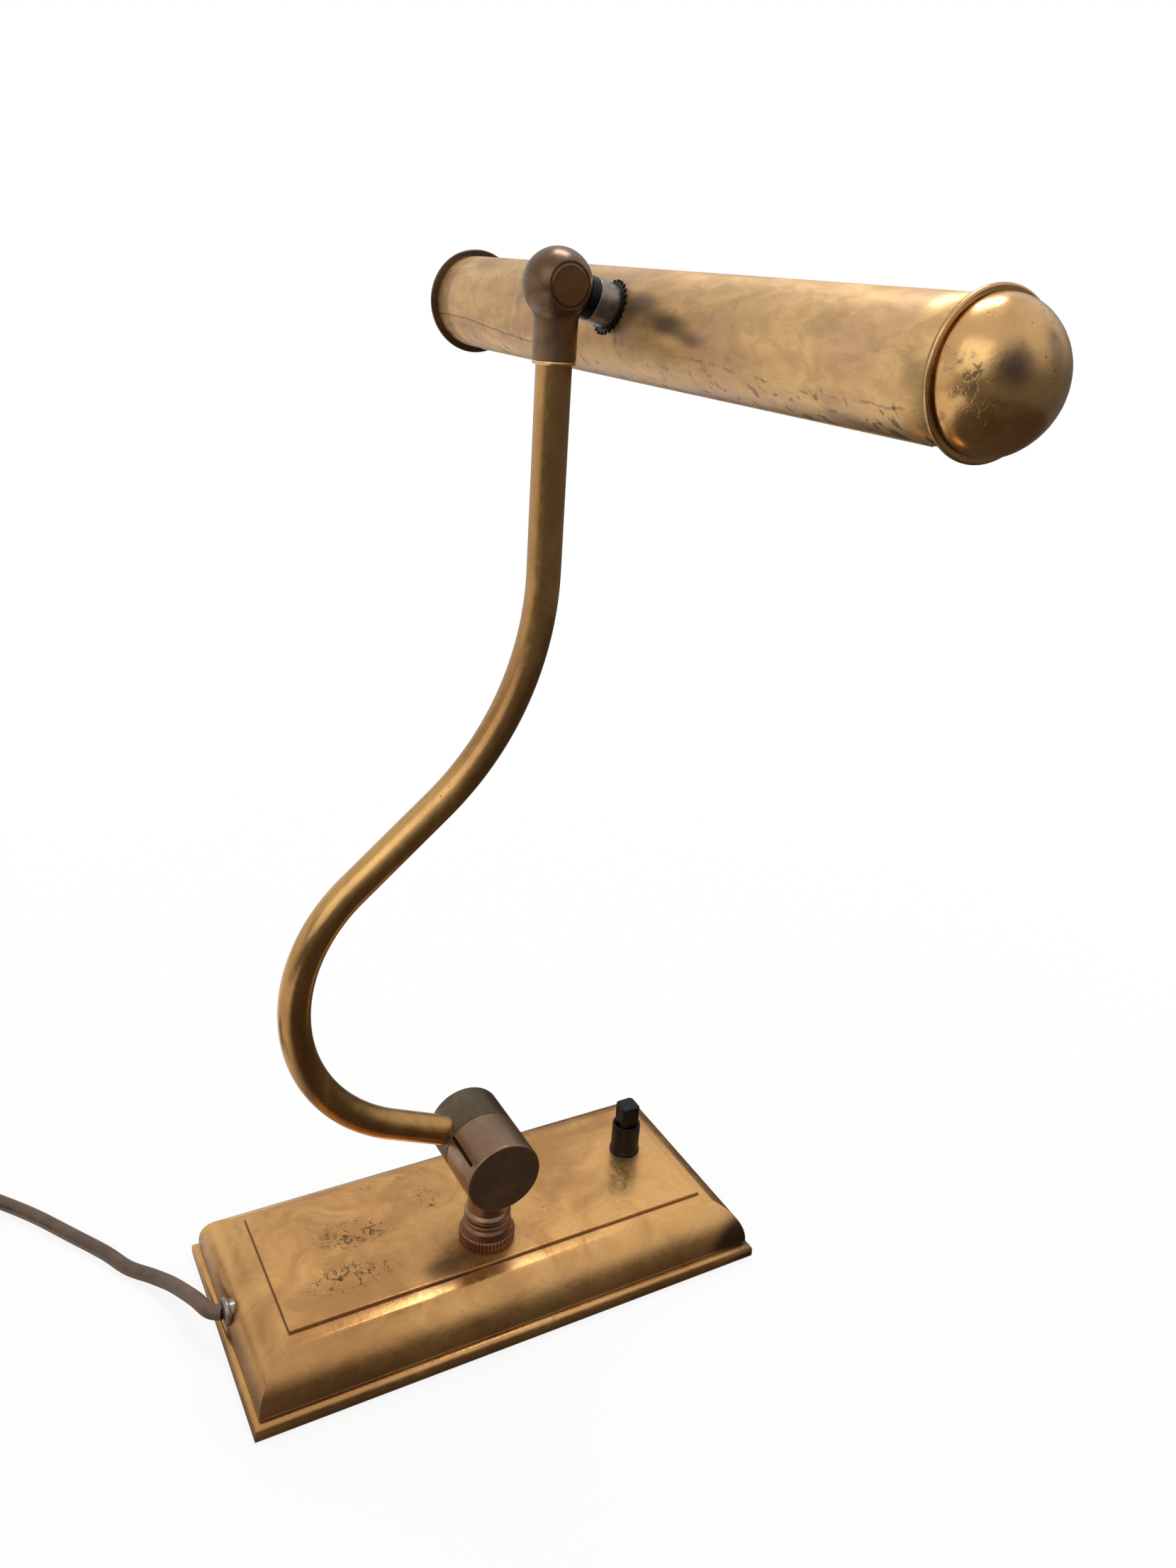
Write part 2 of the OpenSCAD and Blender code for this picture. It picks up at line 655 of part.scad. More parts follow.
module switch_collar() color("black") at_switch() difference() {
    union() {
        translate([0, 0, base_h]) cylinder(h = switch_collar_h, d = switch_collar_d);
        translate([0, 0, base_h]) cylinder(h = 1.6, d = switch_collar_d + 0.9);
    }
    translate([0, 0, base_h - 1])
        cylinder(h = neck_top - base_h + 1, r = switch_neck_d / 2 + fixed_fit);
    translate([0, 0, neck_top - cut]) cylinder(h = chamber2_top - neck_top + cut, r = chamber2_r);
    translate([0, 0, chamber2_top - 1]) linear_extrude(height = 5)
        rounded_square(button_w + 2 * button_gap, button_round + button_gap);
}

module switch_spring() color("silver") at_switch()
    tube_z(neck_top + fixed_fit, button_flange_z - fixed_fit, 3.6, 2.6);

module push_button() color("black") at_switch() {
    crown = 0.6; // height of the bevelled top
    translate([0, 0, button_flange_top - cut])
        linear_extrude(height = button_top - crown - button_flange_top + cut)
            rounded_square(button_w, button_round);
    translate([0, 0, button_top - crown - cut]) linear_extrude(height = crown + cut)
        rounded_square(button_w - 2 * crown, button_round - crown / 2);
    translate([0, 0, button_flange_z])
        cylinder(h = button_flange_t, r = chamber2_r - button_gap);
    translate([0, 0, neck_top - 14 + button_travel + 1])
        cylinder(h = button_flange_z - neck_top + 13 - button_travel + cut, r = button_stem_r);
}

// ---- post ----
module pivot_stud() color("goldenrod") at_post() tube_z(stud_foot, stud_top, stud_d / 2, stud_bore / 2);

module stud_washer() color("silver") at_post()
    tube_z(cavity_top - washer_t, cavity_top, washer_d / 2, stud_d / 2 + fixed_fit);

module stud_nut() color("silver") at_post() difference() {
    hex_z(cavity_top - washer_t - nut_t, cavity_top - washer_t, nut_af);
    cylinder(h = base_h, r = stud_d / 2 + fixed_fit);
}

module retaining_nut() color("goldenrod") at_post()
    tube_z(chamber_z + 2 * face_gap, chamber_z + 2 * face_gap + nut_t,
        retaining_d / 2, stud_d / 2 + fixed_fit);

module knurled_collar() color("saddlebrown") at_post() {
    foot = base_h + face_gap;
    band_top = foot + collar_band_h;
    bead_h = 2;
    difference() {
        rotate_extrude() difference() {
            union() {
                translate([0, foot]) square([collar_d / 2, collar_band_h]);
                polygon([[0, band_top], [collar_d / 2 - 0.8, band_top],
                    [neck_bead_d / 2 + 0.4, collar_top - bead_h - 0.8],
                    [neck_bead_d / 2 - 0.4, collar_top - bead_h], [0, collar_top - bead_h]]);
                translate([0, collar_top - bead_h]) square([neck_bead_d / 2 - 0.4, bead_h]);
                translate([neck_bead_d / 2 - 0.4, collar_top - bead_h / 2]) circle(r = bead_h / 2);
            }
            translate([-big, 0]) square([big + stud_d / 2 + run_fit, big]);
        }
        for (i = [0 : knurls - 1]) rotate([0, 0, i * 360 / knurls])
            translate([collar_d / 2, 0, foot - 1]) rotate([0, 0, 45])
                translate([-0.55, -0.55, 0]) cube([1.1, 1.1, collar_band_h - 0.2]);
    }
}

// ---- drum swivel ----

module drum_front() color("saddlebrown") difference() {
    union() {
        at_drum() mirror_y_blank();
        at_post() difference() {
            union() {
                translate([0, 0, neck_foot]) cylinder(h = drum_z - neck_foot, d = neck_d);
                translate([0, 0, neck_foot]) rotate_extrude() {
                    translate([0, 0.5]) square([neck_bead_d / 2 - 1, neck_bead_h - 1]);
                    for (z = [1.5, neck_bead_h - 1.5])
                        translate([neck_bead_d / 2 - 1, z]) circle(r = 1, $fn = 48);
                }
            }
        }
    }
    at_drum() rod_y(seam_front, big, drum_r + 3 * face_gap);
    at_drum() difference() {
        rod_y(drum_front_y + drum_end, seam_front + 1, drum_bore_r);
        rod_y(drum_front_y, drum_front_y + drum_end + bolt_boss_len, boss_r);
    }
    at_drum() rod_y(drum_front_y + 1.5, seam_front + 1, bolt_d / 2 + fixed_fit);
    at_drum() toward(slit_angle)
        translate([drum_bore_r - 1, drum_front_y + slit_stop, -slit_w / 2])
            cube([drum_wall + 3, seam_front - drum_front_y, slit_w]);
    at_post() translate([0, 0, neck_foot - 1]) cylinder(h = chamber_z - neck_foot + 2,
        r = stud_d / 2 + run_fit);
    at_post() translate([0, 0, chamber_z])
        cylinder(h = drum_z - boss_r - 1 - chamber_z, d = chamber_d);
}
module mirror_y_blank() translate([0, seam_front, 0]) rotate([90, 0, 0]) rotate_extrude() {
    length = seam_front - drum_front_y;
    square([drum_r - drum_round, length]);
    square([drum_r, length - drum_round]);
    translate([drum_r - drum_round, length - drum_round]) circle(r = drum_round, $fn = 48);
}

module drum_rear() color("saddlebrown") at_drum() difference() {
    union() {
        translate([0, seam_rear, 0]) spin_y() {
            length = drum_rear_y - seam_rear;
            square([drum_r - drum_round, length]);
            square([drum_r, length - drum_round]);
            translate([drum_r - drum_round, length - drum_round]) circle(r = drum_round, $fn = 48);
        }
        rod_y(seam_rear - spigot_len, seam_rear + 1, drum_bore_r - run_fit);
    }
    rod_y(seam_rear - spigot_len - 1, drum_rear_y - drum_end, rear_bore_r);
    rod_y(0, drum_rear_y + 1, bolt_d / 2 + run_fit);
    translate([0, arm_y, 0]) toward(180 - arm_exit)
        rod_x(0, drum_d, arm_d / 2 + fixed_fit);
}

module hinge_bolt() color("gray") at_drum() difference() {
    union() {
        rod_y(drum_front_y + 2, drum_rear_y + wave_t + 1, bolt_d / 2);
        rod_y(drum_rear_y + wave_t + face_gap, drum_rear_y + wave_t + face_gap + bolt_head_h,
            bolt_head_d / 2);
    }
    translate([-0.6, drum_rear_y + wave_t + bolt_head_h - 1, -bolt_head_d]) cube([1.2, 4, 2 * bolt_head_d]);
}

module wave_washer() color("silver") at_drum() difference() {
    rod_y(drum_rear_y + face_gap, drum_rear_y + wave_t, bolt_head_d / 2 + 0.5);
    rod_y(drum_rear_y - 1, drum_rear_y + 2, bolt_d / 2 + run_fit);
}

// ---- arm ----

// The arm's path is straight runs and bends, with a hair-thick collar at each junction
module arm_run(a, angle, length, r) translate([a[0], arm_y, a[1]]) toward(angle)
    rod_x(0, length, r);
module arm_bend(centre, bend_r, from, turn, r) translate([centre[0], arm_y, centre[1]])
    rotate([90, 0, 0]) rotate([0, 0, from])
        rotate_extrude(angle = turn) translate([bend_r, 0]) circle(r = r);
module arm_path(r, from_axis, top_z) {
    arm_run([post_x, drum_z] + from_axis * [-cos(arm_exit), sin(arm_exit)], 180 - arm_exit,
        arm_root_len - from_axis, r);
    arm_bend(low_centre, arm_low_r, 90 + arm_rise, low_turn, r);
    arm_run(mid_start, arm_rise, arm_mid_len, r);
    arm_bend(top_centre, arm_top_r, -arm_lean, arm_lean, r);
    arm_run([head_x, top_centre[1]], 90, top_z - top_centre[1], r);
    arm_weld(root_end, -arm_exit, r);
    arm_weld(mid_start, arm_rise, r);
    arm_weld(mid_end, arm_rise, r);
    arm_weld([head_x, top_centre[1]], 90, r);
}
module arm_weld(a, angle, r) translate([a[0], arm_y, a[1]]) toward(angle)
    rod_x(-0.15, 0.15, r + 0.02);

module arm_tube() color("goldenrod") difference() {
    arm_path(arm_d / 2, arm_start, tube_end_z);
    arm_path(arm_bore / 2, arm_start - 1, tube_end_z + 1);
}

module arm_leads() color("ivory") arm_path(sleeving_d / 2, arm_start + 1, tube_end_z - 1);

// ---- knuckle ----
module at_ball() translate([head_x, arm_y, ball_z]) children();

module knuckle_body() color("saddlebrown") at_ball() difference() {
    union() {
        intersection() {
            sphere(d = ball_d);
            translate([-ball_d, -cheek_w / 2, -ball_d]) cube([2 * ball_d, cheek_w, 2 * ball_d]);
        }
        difference() {
            translate([0, 0, -ball_neck_len]) cylinder(h = ball_neck_len, d = ball_neck_d);
            toward(-stem_droop - tilt_down) // relief for the friction washer at its lowest
                rod_x(friction_x - 0.3, ball_d, friction_d / 2 + 0.3);
        }
    }
    translate([0, 0, -ball_neck_len - 1])
        cylinder(h = neck_socket + 1, r = arm_d / 2 + fixed_fit);
    translate([0, 0, -ball_neck_len]) cylinder(h = ball_neck_len, d = wire_bore);
    rod_y(-eye_w / 2 - slot_gap, eye_w / 2 + slot_gap, eye_d / 2 + slot_gap);
    rod_y(-ball_d, ball_d, pivot_d / 2 + fixed_fit);
    for (s = [-1, 1]) scale([1, s, 1])
        rod_y(cheek_w / 2 - head_sink, ball_d, pivot_head_d / 2 + 0.15);
    stem_slot();
}

// The slot in the ball through which the stem swings
module stem_slot() {
    half = stem_d / 2 + slot_gap;
    low = -stem_droop - tilt_down;
    high = -stem_droop + tilt_up;
    middle = (low + high) / 2;
    rotate([90, 0, 0]) linear_extrude(height = 2 * half, center = true) {
        for (a = [low, high]) rotate(a) translate([0, -half]) square([ball_d, 2 * half]);
        polygon([[0, 0], ball_d * [cos(low), sin(low)], 1.3 * ball_d * [cos(middle), sin(middle)],
            ball_d * [cos(high), sin(high)]]);
    }
}

module neck_ring() color("gold") at_ball()
    tube_z(-ball_neck_len - 1.2, -ball_neck_len - fixed_fit, ball_neck_d / 2,
        arm_d / 2 + fixed_fit);

module pivot_screws() color("saddlebrown") at_ball() for (s = [-1, 1]) scale([1, s, 1]) {
    rod_y(pivot_reach, cheek_w / 2, pivot_d / 2);
    rod_y(cheek_w / 2 - head_sink + fixed_fit, cheek_w / 2 - head_sink + fixed_fit + pivot_head_t,
        pivot_head_d / 2);
}

module knuckle_eye() color("gray") head_frame() difference() {
    union() {
        rod_y(-eye_w / 2, eye_w / 2, eye_d / 2);
        rod_x(0, stem_end, stem_d / 2);
    }
    rod_y(-eye_w, eye_w, pivot_d / 2 + run_fit);
    rod_x(0, stem_end + 1, stem_bore / 2);
    toward(-90 + stem_droop) rod_x(0, eye_d, stem_bore / 2);
}

module friction_washer() color("black") head_frame() difference() {
    rod_x(friction_x, sleeve_x - face_gap, friction_d / 2);
    sphere(r = ball_r + face_gap);
    rod_x(0, sleeve_x + 1, stem_d / 2 + run_fit);
}

module stem_clip() color("silver") head_frame() difference() {
    rod_x(spigot_end + 2 * face_gap, spigot_end + 2 * face_gap + clip_t, stem_d / 2 + 1.4);
    rod_x(0, stem_end + 1, stem_d / 2 + fixed_fit);
}

module sleeve() color("gray") head_frame() difference() {
    union() {
        rod_x(sleeve_x, lock_x - fixed_fit, sleeve_d / 2);
        rod_x(sleeve_x, spigot_end, spigot_d / 2);
    }
    rod_x(0, stem_end + 1, stem_d / 2 + run_fit);
}

module lock_washer() color("black") head_frame() difference() {
    union() {
        rod_x(lock_x, lock_x + lock_t, lock_d / 2 - 0.9);
        for (i = [0 : lock_teeth - 1]) rotate([i * 360 / lock_teeth, 0, 0])
            translate([lock_x, lock_d / 2 - 1.8, -0.65]) cube([lock_t, 1.8, 1.3]);
    }
    rod_x(0, big, spigot_d / 2 + fixed_fit);
}

module clamp_washer() color("silver") head_frame() difference() {
    rod_x(clamp_x, clamp_x + clamp_t, clamp_r);
    rod_x(0, big, spigot_d / 2 + fixed_fit);
}

module clamp_nut() color("silver") head_frame() difference() {
    rotate([0, 90, 0]) hex_z(nut2_x + fixed_fit, nut2_x + nut2_t, 12);
    rod_x(0, big, spigot_d / 2 + fixed_fit);
}

// ---- shade ----
module shade_tube() color("tan") at_shade() {
    y0 = shade_shift - shade_len / 2;
    y1 = shade_shift + shade_len / 2;
    low = slot_aim - slot_open / 2;
    high = slot_aim + slot_open / 2;
    edge_r = (shade_d - shade_wall) / 2;
    difference() {
        rod_y(y0, y1, shade_d / 2);
        rod_y(y0 - 1, y1 + 1, shade_bore_r);
        translate([0, y1 - slot_end, 0]) rotate([90, 0, 0])
            linear_extrude(height = shade_len - 2 * slot_end)
                polygon([[0, 0], shade_d * [cos(low), sin(low)],
                    1.5 * shade_d * [cos(slot_aim), sin(slot_aim)],
                    shade_d * [cos(high), sin(high)]]);
        translate([-shade_reach, 0, 0]) rod_x(0, shade_reach, spigot_d / 2 + 0.1);
    }
    for (a = [low, high]) toward(a) translate([edge_r, 0, 0])
        rod_y(y0 + slot_end - 1.5, y1 - slot_end + 1.5, hem_d / 2);
}

// The dome's section: a shoulder arc that runs on into a flatter crown arc
module dome_section(a, h, shoulder) {
    inner = a - shoulder;
    drop = (inner * inner - pow(h - shoulder, 2)) / (2 * (h - shoulder));
    crown_r = h + drop;
    reach = norm([inner, drop]);
    intersection() {
        union() {
            translate([inner, 0]) circle(r = shoulder);
            square([inner, shoulder]);
            intersection() {
                translate([0, -drop]) circle(r = crown_r);
                polygon([[0, -drop], [0, 2 * h], [2 * h * inner / reach, 2 * h],
                    [3 * inner, -drop + 3 * drop]]);
            }
        }
        square([a, h + 1]);
    }
}

module end_cap() {
    foot = flange_t + cap_groove_w;
    groove_r = dome_d / 2 - cap_groove_depth;
    spin_y() difference() {
        union() {
            translate([0, flange_t]) square([groove_r, cap_groove_w]);
            square([flange_d / 2 - flange_t / 2, flange_t]);
            translate([flange_d / 2 - flange_t / 2, flange_t / 2]) circle(r = flange_t / 2, $fn = 48);
            translate([0, foot]) dome_section(dome_d / 2, dome_h, dome_shoulder);
            translate([0, -skirt_len]) square([shade_bore_r - fixed_fit, skirt_len]);
        }
        translate([0, -skirt_len - 1]) square([shade_bore_r - fixed_fit - cap_t, skirt_len + 1 + foot]);
        translate([0, foot - cut])
            dome_section(shade_bore_r - fixed_fit - cap_t, dome_h - cap_t, dome_shoulder - cap_t - 1);
    }
}

module cap_far() color("gold") at_shade()
    translate([0, shade_shift + shade_len / 2 + fixed_fit, 0]) end_cap();

module cap_near() color("gold") at_shade()
    translate([0, shade_shift - shade_len / 2 - fixed_fit, 0]) rotate([0, 0, 180]) end_cap();

// ---- lamps inside the shade ----
module both_ways() for (a = [0, 180]) rotate([a, 0, 0]) children();

module lamp_bracket() color("silver") head_frame() difference() {
    union() {
        translate([bracket_x, -socket_back, -bracket_w / 2])
            cube([bracket_t, 2 * socket_back, bracket_w]);
        both_ways() translate([bracket_x, socket_back - bracket_t, -bracket_w / 2])
            cube([shade_reach + 5 - bracket_x, bracket_t, bracket_w]);
    }
    rod_x(0, big, spigot_d / 2 + fixed_fit);
    translate([shade_reach, 0, 0]) rod_y(-big, big, 1.6 + fixed_fit);
}

module bracket_rivets() color("silver") at_shade() both_ways() {
    rod_y(socket_back - bracket_t - 1, socket_back - bracket_t - fixed_fit, 3);
    rod_y(socket_back - bracket_t - 0.5, socket_back + 4, 1.6);
}

module socket() difference() {
    rod_y(socket_back + fixed_fit, socket_mouth, socket_d / 2);
    rod_y(socket_mouth - base_depth - 1, socket_mouth + 1, bulb_base_d / 2 + 0.1);
    rod_y(0, socket_back + 4 + fixed_fit, 1.6 + fixed_fit);
}
module socket_far() color("saddlebrown") at_shade() socket();
module socket_near() color("saddlebrown") at_shade() rotate([0, 0, 180]) socket();

module bulb_section(r, grow) {
    straight = bulb_len - bulb_neck_len - bulb_d / 2;
    polygon([[0, -grow], [bulb_neck_r - (bulb_d / 2 - r), -grow], [r, bulb_neck_len],
        [r, bulb_neck_len + straight], [0, bulb_neck_len + straight]]);
    intersection() {
        translate([0, bulb_neck_len + straight]) circle(r = r);
        translate([0, bulb_neck_len + straight - cut]) square([r, r + 1]);
    }
}
module bulb() translate([0, bulb_foot, 0]) spin_y() difference() {
    bulb_section(bulb_d / 2, 0);
    bulb_section(bulb_d / 2 - glass_t, 1);
}
module bulb_far() color("white", 0.4) at_shade() bulb();
module bulb_near() color("white", 0.4) at_shade() rotate([0, 0, 180]) bulb();

module bulb_bases() color("silver") at_shade() both_ways() {
    rod_y(socket_mouth - base_depth + 1.5, bulb_foot - fixed_fit, bulb_base_d / 2);
    rod_y(socket_mouth - base_depth, socket_mouth - base_depth + 1.5 + cut, 3);
}

module filaments() color("gray") at_shade() both_ways() {
    mount_len = 12;
    reach = bulb_foot + 48; // end of the wire's loop
    rod_y(bulb_foot, bulb_foot + mount_len, 2.4);
    for (z = [-1.6, 1.6]) translate([0, 0, z]) rod_y(bulb_foot + mount_len - 0.5, reach, 0.35);
    rod([0, reach - 0.3, -1.6], [0, reach - 0.3, 1.6], 0.7);
}

module head_leads() color("ivory") head_frame() for (s = [-1, 1])
    soft_lead([[stem_end - 4, s * 0.95, 0], [stem_end + 1.5, s * 0.95, 0],
        [stem_end + 2.5, s * 10, 4], [shade_reach - 4, s * (socket_back - bracket_t - 0.2), 7.5]], 1.6);

// ---- free cord, coil and plug ----
run_path = smooth_path(concat(run_route, [coil_in]), 2);
tail_path = smooth_path(concat([coil_out], tail_route, [plug_start]), 2);

module cord_run() color("saddlebrown")
    swept_tube(run_path, cord_r, 12, [-1, 0, 0], coil_in_dir);

module cord_coil() color("saddlebrown")
    swept_tube(coil_path, cord_r, 6, coil_in_dir, coil_out_dir);

module cord_tail() color("saddlebrown")
    swept_tube(tail_path, cord_r, 12, coil_out_dir, plug_dir);

module at_plug() translate(plug_start) rotate([0, 0, plug_heading]) children();

module plug_relief() color("saddlebrown") at_plug() difference() {
    translate([fixed_fit, 0, 0]) rotate([0, 90, 0])
        cylinder(h = relief_len, r1 = cord_r + 0.9, r2 = cord_r + 2.6);
    for (i = [0 : 3]) for (s = [-1, 1])
        translate([4 + i * 4.5, s * (cord_r + 2.2) - 1, -cord_d]) cube([1.6, 2, 2 * cord_d]);
}

module plug_body() color("saddlebrown") at_plug() translate([relief_len + 2 * fixed_fit, 0, 0])
    difference() {
        rotate([90, 0, 0]) linear_extrude(height = plug_w, center = true) plug_side();
        for (s = [-1, 1]) translate([plug_len - 8, s * blade_gap / 2 - 0.8, -3.2])
            cube([9, 1.6, 6.4]);
        for (s = [-1, 1], i = [0 : 3]) translate([5 + i * 4, s * (plug_w / 2 + 0.2) - 0.9, -plug_h])
            cube([1.8, 1.8, 2 * plug_h]);
    }
module plug_side() {
    r = 2.5;
    translate([0, -plug_h / 2 + r]) square([plug_len, plug_h - 2 * r]);
    translate([r, -plug_h / 2]) square([plug_len - 2 * r, plug_h]);
    for (x = [r, plug_len - r], s = [-1, 1])
        translate([x, s * (plug_h / 2 - r)]) circle(r = r, $fn = 32);
}

module plug_blades() color("gold") at_plug() for (s = [-1, 1])
    translate([relief_len + plug_len - 7.5, s * blade_gap / 2 - 0.75, -3.15]) difference() {
        cube([7.5 + blade_len, 1.5, 6.3]);
        translate([7.5 + blade_len - 4.5, -1, 3.15]) rotate([-90, 0, 0]) cylinder(h = 4, d = 3, $fn = 32);
    }

echo(coil_gap_mm = coil_gap, cord_run_mm = path_length(run_path),
    coil_mm = path_length(coil_path), cord_tail_mm = path_length(tail_path));
function path_length(path) = sum([for (i = [1 : len(path) - 1]) norm(path[i] - path[i - 1])]);
function sum(list, i = 0) = i < len(list) ? list[i] + sum(list, i + 1) : 0;

base_shell();
base_weight();
bottom_plate();
felt_pad();
base_screws();
cord_grommet();
cord_end();
cord_clamp();
base_leads();
switch_body();
switch_terminals();
switch_collar();
switch_spring();
push_button();
pivot_stud();
stud_washer();
stud_nut();
retaining_nut();
knurled_collar();
drum_front();
hinge_bolt();
wave_washer();
drum_rear();
arm_tube();
arm_leads();
knuckle_body();
neck_ring();
pivot_screws();
knuckle_eye();
friction_washer();
stem_clip();
sleeve();
lock_washer();
clamp_washer();
clamp_nut();
shade_tube();
cap_near();
cap_far();
lamp_bracket();
bracket_rivets();
socket_near();
socket_far();
bulb_near();
bulb_far();
bulb_bases();
filaments();
head_leads();
cord_run();
cord_coil();
cord_tail();
plug_relief();
plug_body();
plug_blades();
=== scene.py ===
# %% [markdown]
# # A brass piano lamp, dressed around its measured frame
# The frame holds every solid of the lamp, in metres, on the bodies that its joints move.
# This notebook makes the surfaces that show, gives each part its finish, and leaves the
# frame's own solids in place wherever their shape is already right.

# %% Load the frame
import json
import math

import bmesh
import bpy
import numpy as np
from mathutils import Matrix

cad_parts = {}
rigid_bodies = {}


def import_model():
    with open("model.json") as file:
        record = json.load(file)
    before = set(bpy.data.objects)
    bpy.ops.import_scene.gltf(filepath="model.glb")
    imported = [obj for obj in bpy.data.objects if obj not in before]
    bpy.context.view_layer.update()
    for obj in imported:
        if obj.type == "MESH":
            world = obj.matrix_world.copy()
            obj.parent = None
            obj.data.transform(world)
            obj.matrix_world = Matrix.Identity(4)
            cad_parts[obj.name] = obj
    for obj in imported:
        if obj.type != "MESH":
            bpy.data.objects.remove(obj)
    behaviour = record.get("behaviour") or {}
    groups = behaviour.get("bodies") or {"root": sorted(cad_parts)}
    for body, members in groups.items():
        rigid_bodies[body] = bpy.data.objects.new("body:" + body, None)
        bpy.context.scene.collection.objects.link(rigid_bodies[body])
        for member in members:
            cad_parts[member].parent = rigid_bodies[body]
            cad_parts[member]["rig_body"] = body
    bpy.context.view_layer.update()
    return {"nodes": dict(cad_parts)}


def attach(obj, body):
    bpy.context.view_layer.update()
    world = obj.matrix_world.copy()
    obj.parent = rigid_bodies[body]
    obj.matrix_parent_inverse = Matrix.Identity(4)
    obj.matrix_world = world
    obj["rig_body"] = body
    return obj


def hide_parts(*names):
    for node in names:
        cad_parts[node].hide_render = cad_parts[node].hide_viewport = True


MM = 0.001  # a millimetre in the frame's metres

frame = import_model()

# %% [markdown]
# ## The camera
# The photograph was taken from the left, in front and above. Its focal length, place and
# turn were worked out from the straight edges of the base and the rings of the shade, so
# that what is built here lands on the same pixels.

# %% The camera
from mathutils import Matrix

YAW, PITCH, ROLL = 0.52275, 0.39784, -0.06725  # radians
CAMERA_AT = (-0.17907, -0.38016, 0.40248)
FOCAL_SHARE = 1752.69 / 1659  # focal length over picture width
SENSOR = 36.0

ahead = np.array([math.sin(YAW) * math.cos(PITCH), math.cos(YAW) * math.cos(PITCH), -math.sin(PITCH)])
level = np.array([math.cos(YAW), -math.sin(YAW), 0.0])
below = np.cross(ahead, level)
to_right = level * math.cos(ROLL) + below * math.sin(ROLL)
to_bottom = below * math.cos(ROLL) - level * math.sin(ROLL)
lens = bpy.data.cameras.new("camera")
lens.sensor_fit, lens.sensor_width, lens.lens = "HORIZONTAL", SENSOR, SENSOR * FOCAL_SHARE
lens.clip_start, lens.clip_end = 0.01, 30
camera = bpy.data.objects.new("camera", lens)
turn = np.eye(4)
turn[:3, :3] = np.column_stack([to_right, -to_bottom, -ahead])
turn[:3, 3] = CAMERA_AT
camera.matrix_world = Matrix(turn.tolist())
bpy.context.scene.collection.objects.link(camera)
bpy.context.scene.camera = camera
bpy.context.scene.view_settings.view_transform = "Standard"
print("lens", round(lens.lens, 2), "mm")

# %% [markdown]
# ## Shader maths as Python
# A finish is easier to read as arithmetic than as a list of nodes. A Wire is one output of
# one node, and adding, multiplying or subtracting wires puts the Math nodes in. Colours and
# vectors go through Mix and Vector Math nodes.


# %% The wire and the board it is soldered to
class Wire:
    """One output socket, with Python's operators."""

    def __init__(self, board, socket):
        self.board, self.socket = board, socket

    def math(self, operation, a, b=0.0):
        return self.board.node("ShaderNodeMath", {"operation": operation}, {0: a, 1: b})

    def __add__(self, other):
        return self.math("ADD", self, other)

    def __radd__(self, other):
        return self.math("ADD", other, self)

    def __sub__(self, other):
        return self.math("SUBTRACT", self, other)

    def __rsub__(self, other):
        return self.math("SUBTRACT", other, self)

    def __mul__(self, other):
        return self.math("MULTIPLY", self, other)

    def __rmul__(self, other):
        return self.math("MULTIPLY", other, self)


